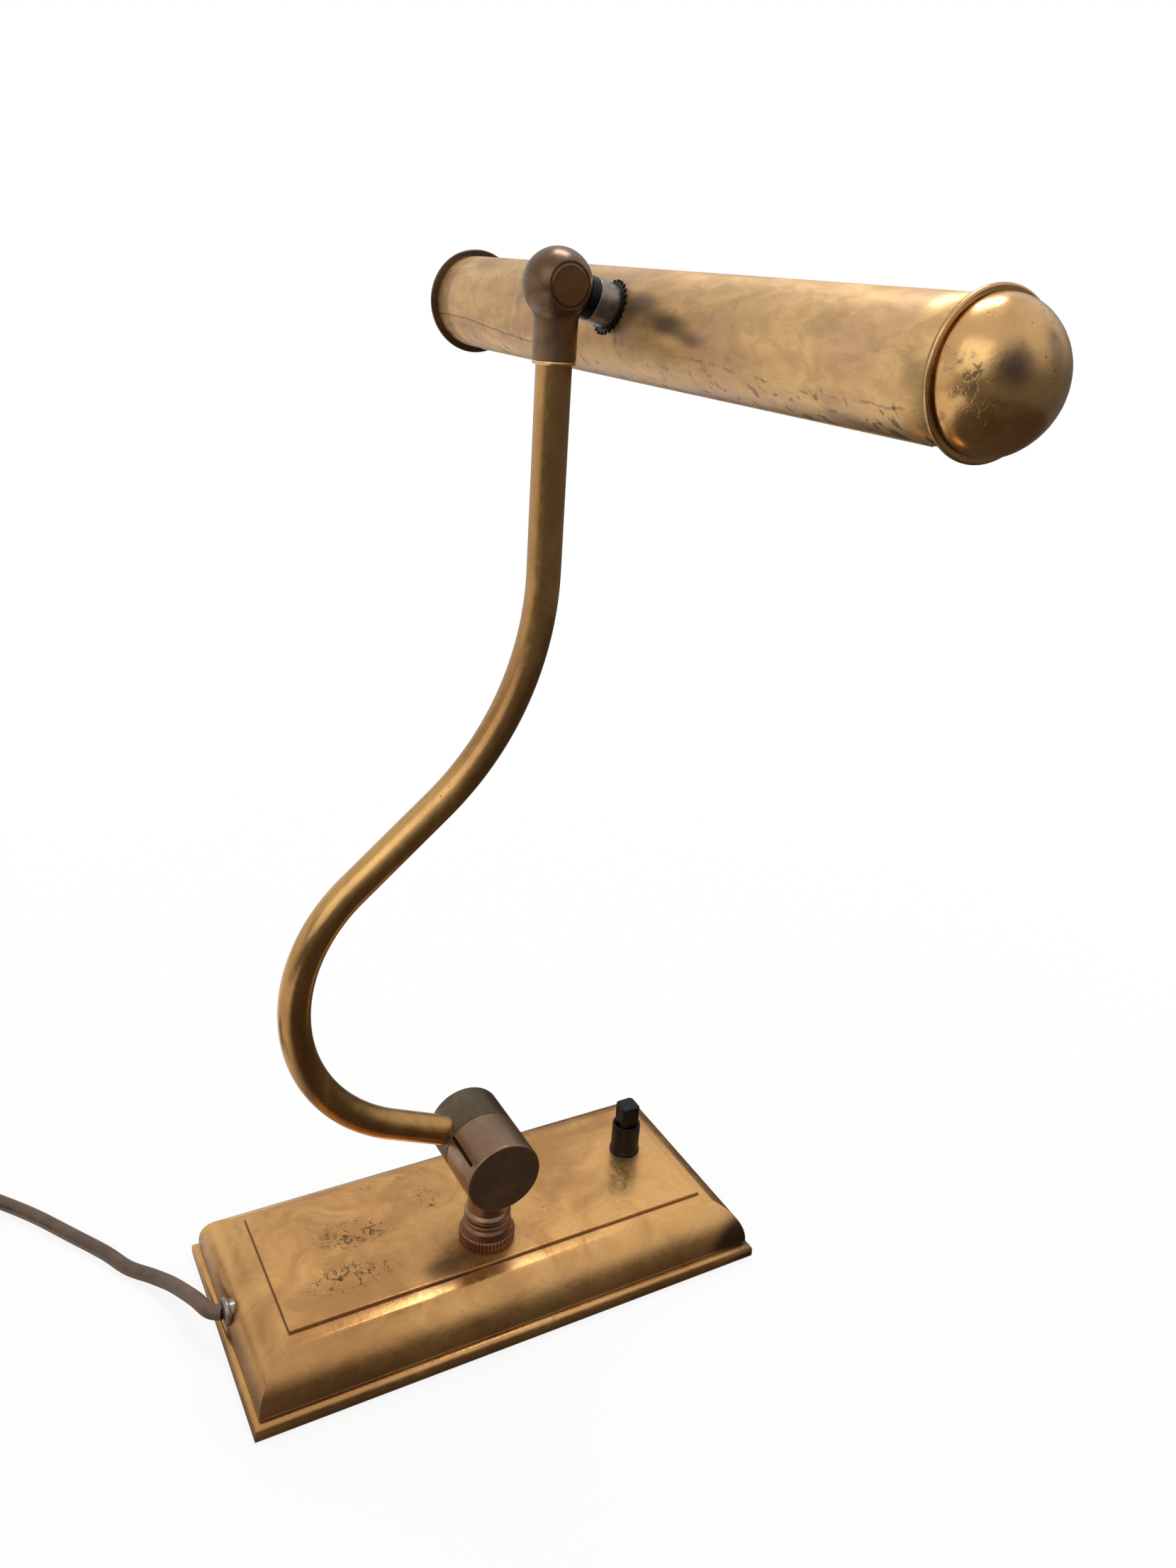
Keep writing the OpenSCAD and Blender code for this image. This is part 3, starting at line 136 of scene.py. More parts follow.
class Board:
    """A node tree with short ways to lay the nodes that the finishes use."""

    def __init__(self, tree):
        self.tree = tree
        tree.nodes.clear()

    def node(self, kind, settings=None, inputs=None, output=0):
        """Any node: its settings first, then the values or wires of its inputs."""
        made = self.tree.nodes.new(kind)
        for key, value in (settings or {}).items():
            setattr(made, key, value)
        for key, value in (inputs or {}).items():
            if isinstance(value, Wire):
                self.tree.links.new(value.socket, made.inputs[key])
            else:
                made.inputs[key].default_value = value
        return Wire(self, made.outputs[output]) if made.outputs else made

    def place(self):
        """The point on the piece, in metres, in the lamp's own frame."""
        return self.node("ShaderNodeTexCoord", output="Object")

    def noise(self, at, scale, detail=3.0, rough=0.55, warp=0.0):
        inputs = {"Vector": at, "Scale": scale, "Detail": detail, "Roughness": rough, "Distortion": warp}
        return self.node("ShaderNodeTexNoise", None, inputs)

    def vector(self, operation, first, second=None, output=0):
        """A Vector Math node. Its output 1 is the number that a length or a dot product gives."""
        inputs = {0: first} if second is None else {0: first, 1: second}
        return self.node("ShaderNodeVectorMath", {"operation": operation}, inputs, output)

    def part(self, at, which):
        """One coordinate of a point: 0 is x, 1 is y and 2 is z."""
        return self.node("ShaderNodeSeparateXYZ", None, {0: at}, which)

    def step(self, value, low, high, to_low=0.0, to_high=1.0):
        """A smooth step from to_low at low to to_high at high."""
        return self.node("ShaderNodeMapRange", {"interpolation_type": "SMOOTHSTEP"},
                         {0: value, 1: low, 2: high, 3: to_low, 4: to_high})

    def moved(self, at, shift=(0, 0, 0), turned=(0, 0, 0), scale=(1, 1, 1)):
        inputs = {"Vector": at, "Location": shift, "Rotation": turned, "Scale": scale}
        return self.node("ShaderNodeMapping", None, inputs)

    def blend(self, share, first, second):
        """Mixes two colours."""
        inputs = {0: share, 6: first, 7: second}
        return self.node("ShaderNodeMix", {"data_type": "RGBA"}, inputs, output=2)

    def reach(self, at, centre, radii):
        """The distance from a centre, 1 on an ellipsoid round it. Both are in millimetres."""
        offset = self.vector("SUBTRACT", at, [c / 1000 for c in centre])
        return self.vector("LENGTH", self.vector("MULTIPLY", offset, [1000 / r for r in radii]), output=1)

    def spots(self, at, *places):
        """The sum of soft spots. Each is (centre, radii, soft, strength): full strength inside,
        fading to 0 at the ellipsoid's edge over the share of its radius that soft says."""
        return sum(self.step(self.reach(at, centre, radii), 1.0, 1 - soft) * strength
                   for centre, radii, soft, strength in places)

    def ring(self, at, centre, radii, width=0.1):
        """1 along the outline of an ellipsoid, 0 elsewhere."""
        far = self.reach(at, centre, radii)
        return self.step(far, 1 - width, 1.0) * self.step(far, 1 + width, 1.0)

    def bump(self, height, depth, strength=1.0):
        """Raises the surface by up to depth metres where height is 1."""
        return self.node("ShaderNodeBump", None, {"Strength": strength, "Distance": depth, "Height": height})


def colour(red, green, blue):
    """A colour given as on screen, 0 to 255, as the linear values that a shader uses."""
    screen = np.array([red, green, blue]) / 255
    linear = np.where(screen <= 0.04045, screen / 12.92, ((screen + 0.055) / 1.055) ** 2.4)
    return (*linear.tolist(), 1.0)


def finish(name, make, fixed=None):
    """A material: make(board, place) returns what changes over the surface, fixed what doesn't."""
    made = bpy.data.materials.new(name)
    made.use_nodes = True
    board = Board(made.node_tree)
    inputs = {**(fixed or {}), **make(board, board.place())}
    shader = board.node("ShaderNodeBsdfPrincipled", None, inputs)
    board.node("ShaderNodeOutputMaterial", None, {"Surface": shader})
    return made


# %% [markdown]
# ## The studio
# The lamp stands on a pale round table top in a white studio. A metal surface shows what
# lies around it, so the light is shaped as well as bright: a soft box high at the back right,
# a wide dim one to the left, a paler sky above, and a room that glows at the back left and is
# dark elsewhere. In what the metal mirrors, the table is dark in front and to the right too.
# Only the camera sees the plain white of the background.

# %% The room
world = bpy.data.worlds.new("studio")
bpy.context.scene.world = world
world.use_nodes = True
sky = Board(world.node_tree)
direction = sky.node("ShaderNodeTexCoord", output="Generated")


def facing(toward):
    """How far a direction points the given way, from -1 to 1."""
    aim = (np.array(toward) / np.linalg.norm(toward)).tolist()
    return sky.vector("DOT_PRODUCT", direction, aim, 1)


height = facing((0, 0, 1))
low_down = sky.step(height, 0.4, 0.1) * sky.step(height, -0.5, -0.1)
glow = sky.step(facing((-0.7, 0.7, 0)), 0.3, 0.95) * low_down
room_light = 0.14 + sky.step(height, 0.0, 0.6) * 0.66 + glow * 0.75
tint = sky.blend(sky.step(height, -0.2, 0.4), (0.95, 0.90, 0.84, 1), (1.0, 0.99, 0.97, 1))
seen = sky.node("ShaderNodeLightPath", output="Is Camera Ray")
room_shader = sky.node("ShaderNodeBackground", None, {"Color": tint, "Strength": room_light})
white_shader = sky.node("ShaderNodeBackground", None, {"Color": (1, 1, 1, 1), "Strength": 1.0})
mixed = sky.node("ShaderNodeMixShader", None, {0: seen, 1: room_shader, 2: white_shader})
sky.node("ShaderNodeOutputWorld", None, {"Surface": mixed})


def soft_box(name, at, aim, size, power):
    """A rectangular lamp at a point, turned to face another."""
    lamp = bpy.data.lights.new(name, "AREA")
    lamp.shape, lamp.size, lamp.size_y, lamp.energy = "RECTANGLE", *size, power
    box = bpy.data.objects.new(name, lamp)
    away = np.array(at, float) - np.array(aim, float)
    away /= np.linalg.norm(away)
    side = np.cross((0, 0, 1), away)
    side /= np.linalg.norm(side)
    stand = np.eye(4)
    stand[:3, :3] = np.column_stack([side, np.cross(away, side), away])
    stand[:3, 3] = at
    box.matrix_world = Matrix(stand.tolist())
    bpy.context.scene.collection.objects.link(box)


soft_box("window_left", (-1.25, -0.75, 1.05), (0, 0, 0.2), (1.3, 1.3), 4)
soft_box("high_back_right", (0.28, 0.33, 1.4), (0, 0, 0.05), (0.5, 0.36), 6)

# %% The table top
TABLE_R, TABLE_EDGES = 0.95, 128
around = np.linspace(0, 2 * np.pi, TABLE_EDGES, endpoint=False)
rim = np.column_stack([TABLE_R * np.cos(around), TABLE_R * np.sin(around), np.zeros(TABLE_EDGES)])
top = bpy.data.meshes.new("table_top")
top.from_pydata(rim.tolist(), [], [list(range(TABLE_EDGES))])
table_top = bpy.data.objects.new("table_top", top)
bpy.context.scene.collection.objects.link(table_top)

paper = bpy.data.materials.new("white_table")
paper.use_nodes = True
board = Board(paper.node_tree)
on_table = board.place()
lit = board.node("ShaderNodeBsdfDiffuse", None, {"Color": (0.93, 0.93, 0.93, 1)})
plain = board.node("ShaderNodeEmission", None, {"Color": (1, 1, 1, 1), "Strength": 1.0})
span = board.vector("LENGTH", on_table, output=1)
plainness = board.step(span, 0.25, 0.6, 0.86, 1.0)
seen_top = board.node("ShaderNodeMixShader", None, {0: plainness, 1: lit, 2: plain})
leftward = board.vector("DOT_PRODUCT", on_table, (-0.75, 0.66, 0), 1)
tone = board.blend(board.step(leftward, 0.0, 0.2), (0.08, 0.06, 0.046, 1), (0.95, 0.92, 0.88, 1))
mirrored = board.node("ShaderNodeBsdfDiffuse", None, {"Color": tone})
looking = board.node("ShaderNodeLightPath", output="Is Camera Ray")
mixed = board.node("ShaderNodeMixShader", None, {0: looking, 1: mirrored, 2: seen_top})
board.node("ShaderNodeOutputMaterial", None, {"Surface": mixed})
top.materials.append(paper)
print("studio ready")

# %% [markdown]
# ## Surfaces from grids
# Almost all of this lamp is turned on a lathe, drawn through a die or cast from a moulding
# section. Each of those is a grid: a profile carried round an axis or along a path. The
# points are worked out as whole numpy arrays, in millimetres, and joined by quads.

# %% Grid to mesh


def quads(rows, columns, wrap_rows, wrap_columns):
    """The faces of a rows by columns grid of points, closed either way if asked."""
    i = np.arange(rows if wrap_rows else rows - 1)[:, None]
    j = np.arange(columns if wrap_columns else columns - 1)[None, :]
    i2, j2 = (i + 1) % rows, (j + 1) % columns
    corners = [i * columns + j, i * columns + j2, i2 * columns + j2, i2 * columns + j]
    return np.stack(np.broadcast_arrays(*corners), -1).reshape(-1, 4)


def solid(name, shells, material, body, replaced=(), sharp=32.0):
    """One piece from (points in mm, faces) shells: doubles merged, faces outwards, crisp edges."""
    points = np.concatenate([np.asarray(p, float).reshape(-1, 3) for p, _ in shells])
    starts = np.cumsum([0] + [len(np.asarray(p).reshape(-1, 3)) for p, _ in shells[:-1]])
    faces = [[int(v) + start for v in face] for (_, fs), start in zip(shells, starts) for face in fs]
    mesh = bpy.data.meshes.new(name)
    mesh.from_pydata((points * MM).tolist(), [], faces)
    tidy = bmesh.new()
    tidy.from_mesh(mesh)
    bmesh.ops.remove_doubles(tidy, verts=tidy.verts, dist=2e-6)
    bmesh.ops.dissolve_degenerate(tidy, edges=tidy.edges, dist=1e-7)
    bmesh.ops.recalc_face_normals(tidy, faces=tidy.faces)
    tidy.to_mesh(mesh)
    tidy.free()
    mesh.shade_smooth()
    mesh.set_sharp_from_angle(angle=math.radians(sharp))
    mesh.materials.append(material)
    made = bpy.data.objects.new(name, mesh)
    bpy.context.scene.collection.objects.link(made)
    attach(made, body)
    if replaced:
        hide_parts(*replaced)
    return made


def rounded(corners, steps=5):
    """A profile from (radius, along, fillet) corners: each corner becomes an arc of its fillet."""
    out = []
    for k, (x, y, r) in enumerate(corners):
        here = np.array([x, y], float)
        if r <= 0 or k in (0, len(corners) - 1):
            out.append(here[None])
            continue
        back = np.array(corners[k - 1][:2], float) - here
        on = np.array(corners[k + 1][:2], float) - here
        back /= np.linalg.norm(back)
        on /= np.linalg.norm(on)
        half = math.acos(max(-1, min(1, float(back @ on)))) / 2
        reach = r / math.tan(half)
        a, b = here + back * reach, here + on * reach
        mid = here + (back + on) / np.linalg.norm(back + on) * (r / math.sin(half))
        t = np.linspace(0, 1, steps + 1)[:, None]
        arc = (a - mid) * (1 - t) + (b - mid) * t
        out.append(mid + arc / np.linalg.norm(arc, axis=1, keepdims=True) * r)
    return np.concatenate(out)


class Axis:
    """A lathe's axis: a centre, the way along it, and the two ways across it."""

    def __init__(self, centre, along, up):
        self.centre = np.array(centre, float)
        self.along = np.array(along, float) / np.linalg.norm(along)
        self.side = np.array(up, float) - self.along * (np.array(up, float) @ self.along)
        self.side /= np.linalg.norm(self.side)
        self.other = np.cross(self.along, self.side)

    def points(self, radius, angle, along):
        """radius away from the axis at an angle, and so far along it."""
        r, a, t = (v[..., None] for v in np.broadcast_arrays(radius, angle, along))
        return self.centre + self.along * t + r * (self.side * np.cos(a) + self.other * np.sin(a))


def turned(axis, profile, sides=96, ripple=None, closed=False):
    """A profile of (radius, along) spun round an axis. ripple(profile, angles, radius) changes
    the radius. closed joins the profile's end to its start."""
    profile = np.asarray(profile, float)
    angles = np.linspace(0, 2 * np.pi, sides, endpoint=False)[None, :]
    radius = profile[:, :1] + np.zeros_like(angles)
    if ripple:
        radius = ripple(profile, angles, radius)
    grid = axis.points(radius, angles, profile[:, 1:2] + np.zeros_like(angles))
    return grid.reshape(-1, 3), quads(len(profile), sides, closed, True)


def swept(path, radius, sides=24, capped=True):
    """A tube: circles set square to a path, each turned as little as possible from the last."""
    path = np.asarray(path, float)
    way = np.gradient(path, axis=0)
    way /= np.linalg.norm(way, axis=1, keepdims=True)
    side = np.cross(way[0], (0.3, 0.2, 1.0))
    sides_at = []
    for step in way:
        side = side - step * (side @ step)
        side = side / np.linalg.norm(side)
        sides_at.append(side)
    across = np.array(sides_at)
    other = np.cross(way, across)
    angle = np.linspace(0, 2 * np.pi, sides, endpoint=False)
    radius = np.broadcast_to(radius, len(path))[:, None, None]
    spokes = across[:, None] * np.cos(angle)[:, None] + other[:, None] * np.sin(angle)[:, None]
    grid = path[:, None] + radius * spokes
    faces = quads(len(path), sides, False, True).tolist()
    if capped:
        last = (len(path) - 1) * sides
        faces += [list(range(sides))[::-1], list(range(last, last + sides))]
    return grid.reshape(-1, 3), faces


print("lathe, die and moulding plane ready")

# %% [markdown]
# ## The flex
# The free cord is settled before anything else, because its length is real: it leaves the
# grommet, sags to the table, runs out of the picture and lies in a coil of two layers that
# spirals in below and out again above. Its centre line is a smooth curve through a few
# chosen points, then a formula for the coil, then a short tail to the plug.

# %% The route of the flex
CORD_R, TABLE_Z = 3.0, 3.1
RUN = [(-108.68, 0, 15), (-113, 3.4, 14.7), (-116, 12, 13.5), (-118.5, 21.5, 9.9), (-122.3, 32, 6.6),
       (-128.3, 42, 4.4), (-136, 52, TABLE_Z), (-143, 64.5, TABLE_Z), (-154.5, 81.5, TABLE_Z),
       (-166.5, 99, TABLE_Z), (-179, 114.5, TABLE_Z), (-190, 126.5, TABLE_Z), (-199.5, 134.8, TABLE_Z)]
COIL_AT, COIL_R, COIL_STEP, COIL_LOOPS, COIL_FROM = (-236.0, 104.0), 46.0, 6.6, 7.5, math.radians(60)
PLUG_AT = (-234.5, 42.0, 8.5)
TAIL = [(-247, 57.8, TABLE_Z + COIL_STEP), (-241.5, 53, 9.3), (-237.4, 47.6, 8.7), PLUG_AT]


def through(points, steps):
    """A Catmull-Rom curve: at t from b to c it is
    (2b + (c-a)t + (2a-5b+4c-d)t^2 + (3b-a-3c+d)t^3) / 2, with a and d the points beyond."""
    p = np.asarray(points, float)
    p = np.vstack([p[:1], p, p[-1:]])
    a, b, c, d = p[:-3, None], p[1:-2, None], p[2:-1, None], p[3:, None]
    t = (np.arange(steps) / steps)[None, :, None]
    square, cube = (2 * a - 5 * b + 4 * c - d) * t**2, (3 * b - a - 3 * c + d) * t**3
    curve = (2 * b + (c - a) * t + square + cube) / 2
    return np.vstack([curve.reshape(-1, 3), p[-1:]])


def coil_line(rings_a_loop):
    """At t loops the radius is COIL_R - step * t on the way in and grows again on the way out,
    and the height climbs one layer in the half loop where the spiral reverses."""
    t = np.arange(int(COIL_LOOPS * rings_a_loop) + 1) / rings_a_loop
    angle = COIL_FROM + 2 * np.pi * t
    radius = COIL_R - COIL_STEP * np.minimum(t, COIL_LOOPS - t)
    u = np.clip((t - COIL_LOOPS / 2 + 0.25) * 2, 0, 1)
    climb = TABLE_Z + COIL_STEP * u * u * (3 - 2 * u)
    return np.column_stack([COIL_AT[0] + radius * np.cos(angle), COIL_AT[1] + radius * np.sin(angle), climb])


def along_way(a, b):
    return (b - a) / np.linalg.norm(b - a)


coarse = coil_line(24)
coil_in = coarse[0] - 2 * CORD_R * along_way(coarse[0], coarse[1])
coil_out = coarse[-1] + 2 * CORD_R * along_way(coarse[-2], coarse[-1])
flex_line = np.vstack([through(RUN + [coil_in], 6), coil_line(48), through([coil_out] + TAIL, 6)])


def make_flex(board, at):
    """Brown jacket: soft sheen, a little dust and rub."""
    cloud = board.noise(at, 70, 4, 0.6)
    grain = board.noise(at, 700, 3, 0.6)
    share = board.step(cloud * 0.7 + grain * 0.3, 0.38, 0.64)
    base = board.blend(share, colour(78, 57, 40), colour(102, 78, 58))
    return {"Base Color": base, "Roughness": board.step(cloud, 0.3, 0.7, 0.34, 0.5),
            "Normal": board.bump(grain * 0.2 + cloud * 0.8, 0.0003)}


flex_brown = finish("flex_brown", make_flex, {"Coat Weight": 0.2, "Coat Roughness": 0.3})
flex = solid("flex", [swept(flex_line, CORD_R, 24)], flex_brown, "base",
             ["cord_run", "cord_coil", "cord_tail"], 60)

# %% [markdown]
# ## Aged brass
# The lamp is brass that was lacquered and then let go: golden where hands and cloths keep
# it bright, tan and brown where the lacquer has failed, with dark pits and blotches. Brass
# has no colour of its own in shadow, so the finish is nearly all metal. Several sizes of
# noise mix a bright and a dull brass, thresholds on the same noise leave the dark spots, and
# a very shallow bump lets the reflections wander, as they do on old sheet.

# %% The brass family


def aged_brass(name, bright, dull, dark, gloss, tarnish, pits, marks=None, metal=0.92, wave=0.00025,
               stretch=(1, 1, 1), clear=0.15):
    """Brass between a bright and a dull colour, with dark tarnish and pits. The colours are
    given as on screen. marks(board, at) returns three more wires: how much darker, how much
    rougher and how much higher the surface is there."""
    bright, dull, dark = colour(*bright), colour(*dull), colour(*dark)

    def make(board, at):
        flow = board.moved(at, scale=stretch)
        broad = board.noise(flow, 16, 2, 0.5, 0.4)
        cloud = board.noise(flow, 55, 5, 0.62, 0.8)
        grain = board.noise(at, 420, 4, 0.6)
        tone = board.step(broad * 0.55 + cloud * 0.45, 0.36, 0.64)
        base = board.blend(tone, dull, bright)
        stain = board.step(cloud * 0.5 + grain * 0.2 + broad * 0.3, 0.52, 0.66) * tarnish
        speck = board.step(board.noise(at, 900, 2, 0.5), 0.66, 0.74) * board.step(cloud, 0.5, 0.62) * pits
        dirt_and_painted_shade = stain + speck - stain * speck
        rough_more = stain * 0.5 + speck * 0.3
        level = cloud * 0.8 + broad * 1.2 + grain * 0.12 - speck * 0.5
        if marks:
            # marks may hold painted shade as well as real stains
            extra, rough_extra, raised = marks(board, at)
            dirt_and_painted_shade = dirt_and_painted_shade + extra - dirt_and_painted_shade * extra
            rough_more = rough_more + rough_extra
            level = level + raised
        base = board.blend(board.step(dirt_and_painted_shade, 0.0, 1.0), base, dark)
        rough = board.step(grain * 0.5 + cloud * 0.5, 0.3, 0.7, gloss[0], gloss[1]) + rough_more * 0.25
        return {"Base Color": base, "Roughness": rough, "Metallic": metal - dirt_and_painted_shade * 0.45,
                "Normal": board.bump(level, wave)}

    return finish(name, make, {"Coat Weight": clear, "Coat Roughness": 0.22})


def base_marks(board, at):
    """Pits on the left of the top plate, then painted shade: a painted shadow line under the plate's
    edge, a painted dark reflection on the right end, painted shade low on the moulding and on
    the rim, and painted shadow round the post and the switch."""
    crawl = board.noise(board.moved(at, scale=(1, 1, 0.2)), 190, 3, 0.7, 1.6)
    worm = board.step(crawl, 0.545, 0.60) * board.step(crawl, 0.66, 0.61)
    flecks = board.step(board.noise(at, 520, 2, 0.6, 0.5), 0.60, 0.68)
    near = board.spots(at, ((-54, 6, 28.5), (24, 12, 5), 0.7, 1), ((-62, -16, 28.5), (26, 11, 5), 0.7, 1),
                       ((-18.5, 12, 28.5), (10, 13, 5), 0.8, 0.8), ((-30, 30, 28.5), (30, 5, 5), 0.8, 0.7),
                       ((23, -13, 28.5), (8, 4, 5), 0.8, 0.6))
    pitted = near * (worm * 0.75 + flecks * 0.55)
    # painted shade: a painted dark reflection on the right end, and painted shadow round the foot of the post
    # and of the switch
    painted_shade = board.spots(at, ((112, -50, 14), (30, 22, 16), 0.9, 1), ((105, 43, 20), (16, 20, 14), 0.9, 0.3),
                       ((-4, -19, 28.5), (22, 18, 9), 0.85, 0.6), ((-26, -27, 28.5), (20, 11, 9), 0.9, 0.65),
                       ((75, 2, 28.5), (12, 14, 6), 0.9, 0.4))
    stripes = board.noise(board.moved(at, turned=(0, 0, 0.1), scale=(0.06, 1, 1)), 260, 2, 0.5)
    wiped = board.spots(at, ((65, 26, 28.5), (34, 14, 8), 0.8, 0.35)) * board.step(stripes, 0.5, 0.68)
    height = board.part(at, 2)
    # painted shadow: a dark line in the step under the top plate's edge, weaker along the front
    line = board.step(height, 0.02696, 0.02706) * board.step(height, 0.0278, 0.0273)
    line = line * board.step(board.part(at, 1), -0.0345, -0.0325, 0.42, 0.68)
    # painted shade: the lower moulding darkened, standing in for a dark table in reflection
    low = board.step(height, 0.0215, 0.0085) * board.step(height, 0.0066, 0.0074) * 0.5
    # painted shade on the rim's lower part
    rim = board.step(height, 0.0048, 0.0032) * 0.55
    total = pitted + painted_shade + wiped + line + low + rim
    return board.step(total, 0.0, 1.0) * 0.92, pitted * 0.5, pitted * -0.9


base_brass = aged_brass("base_brass", (228, 176, 112), (188, 138, 84), (62, 40, 24), (0.22, 0.36), 0.30, 0.4,
                        base_marks)
arm_brass = aged_brass("arm_brass", (218, 172, 106), (164, 120, 70), (58, 38, 22), (0.16, 0.30), 0.5, 0.5,
                       None, 0.95, 0.0002, (1, 1, 0.35), 0.3)
bronze = aged_brass("drum_bronze", (176, 142, 114), (134, 105, 82), (58, 42, 31), (0.24, 0.36), 0.4, 0.3,
                    None, 0.85, 0.00012, clear=0.25)
olive_bronze = aged_brass("rear_bronze", (118, 101, 80), (84, 70, 53), (34, 27, 18), (0.28, 0.40), 0.5, 0.3,
                          None, 0.85, 0.00012, clear=0.2)
dark_bronze = aged_brass("knuckle_bronze", (140, 110, 80), (96, 72, 51), (40, 28, 20), (0.26, 0.38), 0.5, 0.3,
                         None, 0.85, 0.00012, clear=0.25)
red_bronze = aged_brass("collar_bronze", (156, 114, 88), (116, 80, 60), (48, 30, 21), (0.28, 0.42), 0.5, 0.4,
                        None, 0.85, 0.0001, clear=0.2)
edge_brass = aged_brass("edge_brass", (236, 200, 140), (214, 170, 108), (110, 74, 42), (0.18, 0.28),
                        0.25, 0.2, None, 0.95, 0.0001, clear=0.3)
print("brass finishes ready")

# %% [markdown]
# ## The base
# The base is one moulding section run round four sides and mitred at the corners: a rounded
# rim, a thin shadow groove, a tall quarter-round and a flat plate with a raised edge. The
# section is written once as (set in from the rim, height) and carried round the rectangle,
# so the mitres come of themselves. A narrow bevel takes the razor edge off the mitres.

# %% The moulding section
BASE_L, BASE_W, BASE_H, PLATE_IN = 220.0, 103.0, 28.5, 30.0
RIM_LOW, RIM_TOP, GROOVE_TOP = 1.0, 7.0, 8.0
OVOLO_IN, OVOLO_R, OVOLO_Z = 2.6, 19.0, 8.3
TOP_IN, STEP_LOW = 19.0, 27.12

quarter = np.radians(np.linspace(0, 81, 28))
ovolo = np.column_stack([OVOLO_IN + OVOLO_R * (1 - np.cos(quarter)), OVOLO_Z + OVOLO_R * np.sin(quarter)])
outer = rounded([(5.0, RIM_LOW, 0), (0.0, RIM_LOW, 0.4), (0.0, RIM_TOP, 2.8), (3.4, RIM_TOP, 0.25),
                 (3.4, GROOVE_TOP, 0.2), (OVOLO_IN, GROOVE_TOP, 0.35), (OVOLO_IN, OVOLO_Z, 0)])
plate = rounded([(*ovolo[-1], 0), (TOP_IN, STEP_LOW, 0.15), (TOP_IN, BASE_H, 0.45), (PLATE_IN, BASE_H, 0)])
inner = np.array([(PLATE_IN, 24.9), (21.6, 24.9), (9.9, 20.0), (5.0, 8.3)])
section = np.concatenate([outer[:-1], ovolo, plate[1:], inner])


def run_round(profile, length, width):
    """A (set in, height) section carried round a rectangle, mitred at its corners."""
    signs = np.array([(-1, -1), (1, -1), (1, 1), (-1, 1)])
    flat = signs[None] * (np.array([length, width]) / 2 - profile[:, None, :1])
    heights = np.broadcast_to(profile[:, None, 1:], (len(profile), 4, 1))
    grid = np.concatenate([flat, heights], -1)
    return grid.reshape(-1, 3), quads(len(profile), 4, True, True).tolist()


points, faces = run_round(section, BASE_L, BASE_W)
top_row = int(np.argmax((section[:, 0] == PLATE_IN) & (section[:, 1] == BASE_H)))
faces = [f for f in faces if {v // 4 for v in f} != {top_row, top_row + 1}]
faces += [[4 * top_row + k for k in range(4)], [4 * (top_row + 1) + k for k in (3, 2, 1, 0)]]
base = solid("base_moulding", [(points, faces)], base_brass, "base", ["base_shell"], 30)
print("base moulding", len(section), "points in its section")

# %% [markdown]
# ## The post and its collar
# A knurled collar hides the foot of the post. Its teeth are a ripple in the radius, at full
# depth along the band and fading at the band's edges. Above it the collar narrows to a neck
# and ends in a round bead.

# %% The collar
POST = (-4.0, -17.5)
COLLAR_R, STUD_HOLE, BAND_LOW, BAND_TOP = 11.5, 5.05, 28.6, 33.6
KNURLS, KNURL_DEPTH = 44, 0.55
post_axis = Axis((*POST, 0), (0, 0, 1), (1, 0, 0))
collar_profile = rounded([
    (STUD_HOLE, BAND_LOW, 0), (10.6, BAND_LOW, 0.2), (COLLAR_R, 29.3, 0.3), (COLLAR_R, 33.0, 0.3),
    (10.7, BAND_TOP, 0.3), (9.9, 36.3, 1.6), (8.7, 37.8, 0.4), (9.6, 38.3, 0.6), (9.7, 39.6, 0.7),
    (8.9, 40.0, 0.3), (STUD_HOLE, 40.0, 0), (STUD_HOLE, BAND_LOW, 0)])


def knurl(profile, angles, radius):
    """Teeth as a ripple of the radius, fading out above and below the band."""
    along = profile[:, 1:2]
    band = np.clip((along - BAND_LOW + 0.4) / 0.5, 0, 1) * np.clip((BAND_TOP + 0.1 - along) / 0.5, 0, 1)
    band = band * (profile[:, :1] > 9.8)
    return radius - KNURL_DEPTH * band * (0.5 + 0.5 * np.cos(angles * KNURLS)) ** 1.5


solid("collar_ring", [turned(post_axis, collar_profile, KNURLS * 10, knurl)], red_bronze, "collar",
      ["knurled_collar"], 40)

# %% [markdown]
# ## The drum swivel
# Two drums meet face to face: the front one is cast with the neck and stays upright, and the
# rear one turns with the arm. A small round on each edge keeps the hairline seam visible
# between them. The front drum has a sawn slit, cut here as on the real one, after turning.

# %% Cutting tools


def carve(piece, cutter, operation="DIFFERENCE"):
    """Cuts a (points, faces) solid out of a piece, or joins it on, and keeps the result."""
    tool = solid("tool", [cutter], piece.data.materials[0], piece["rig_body"])
    cut = piece.modifiers.new("cut", "BOOLEAN")
    cut.object, cut.operation, cut.solver = tool, operation, "EXACT"
    bpy.context.view_layer.update()
    done = bpy.data.meshes.new_from_object(piece.evaluated_get(bpy.context.evaluated_depsgraph_get()))
    piece.modifiers.remove(cut)
    piece.data = done
    done.shade_smooth()
    done.set_sharp_from_angle(angle=math.radians(32))
    bpy.data.objects.remove(tool)
    return piece


def block(low, high, place=None):
    """A box between two corners, taken through place(points) if given."""
    ends = list(zip(low, high))
    corners = np.array([[x, y, z] for x in ends[0] for y in ends[1] for z in ends[2]], float)
    faces = [[0, 1, 3, 2], [4, 6, 7, 5], [0, 4, 5, 1], [2, 3, 7, 6], [0, 2, 6, 4], [1, 5, 7, 3]]
    return (place(corners) if place else corners), faces


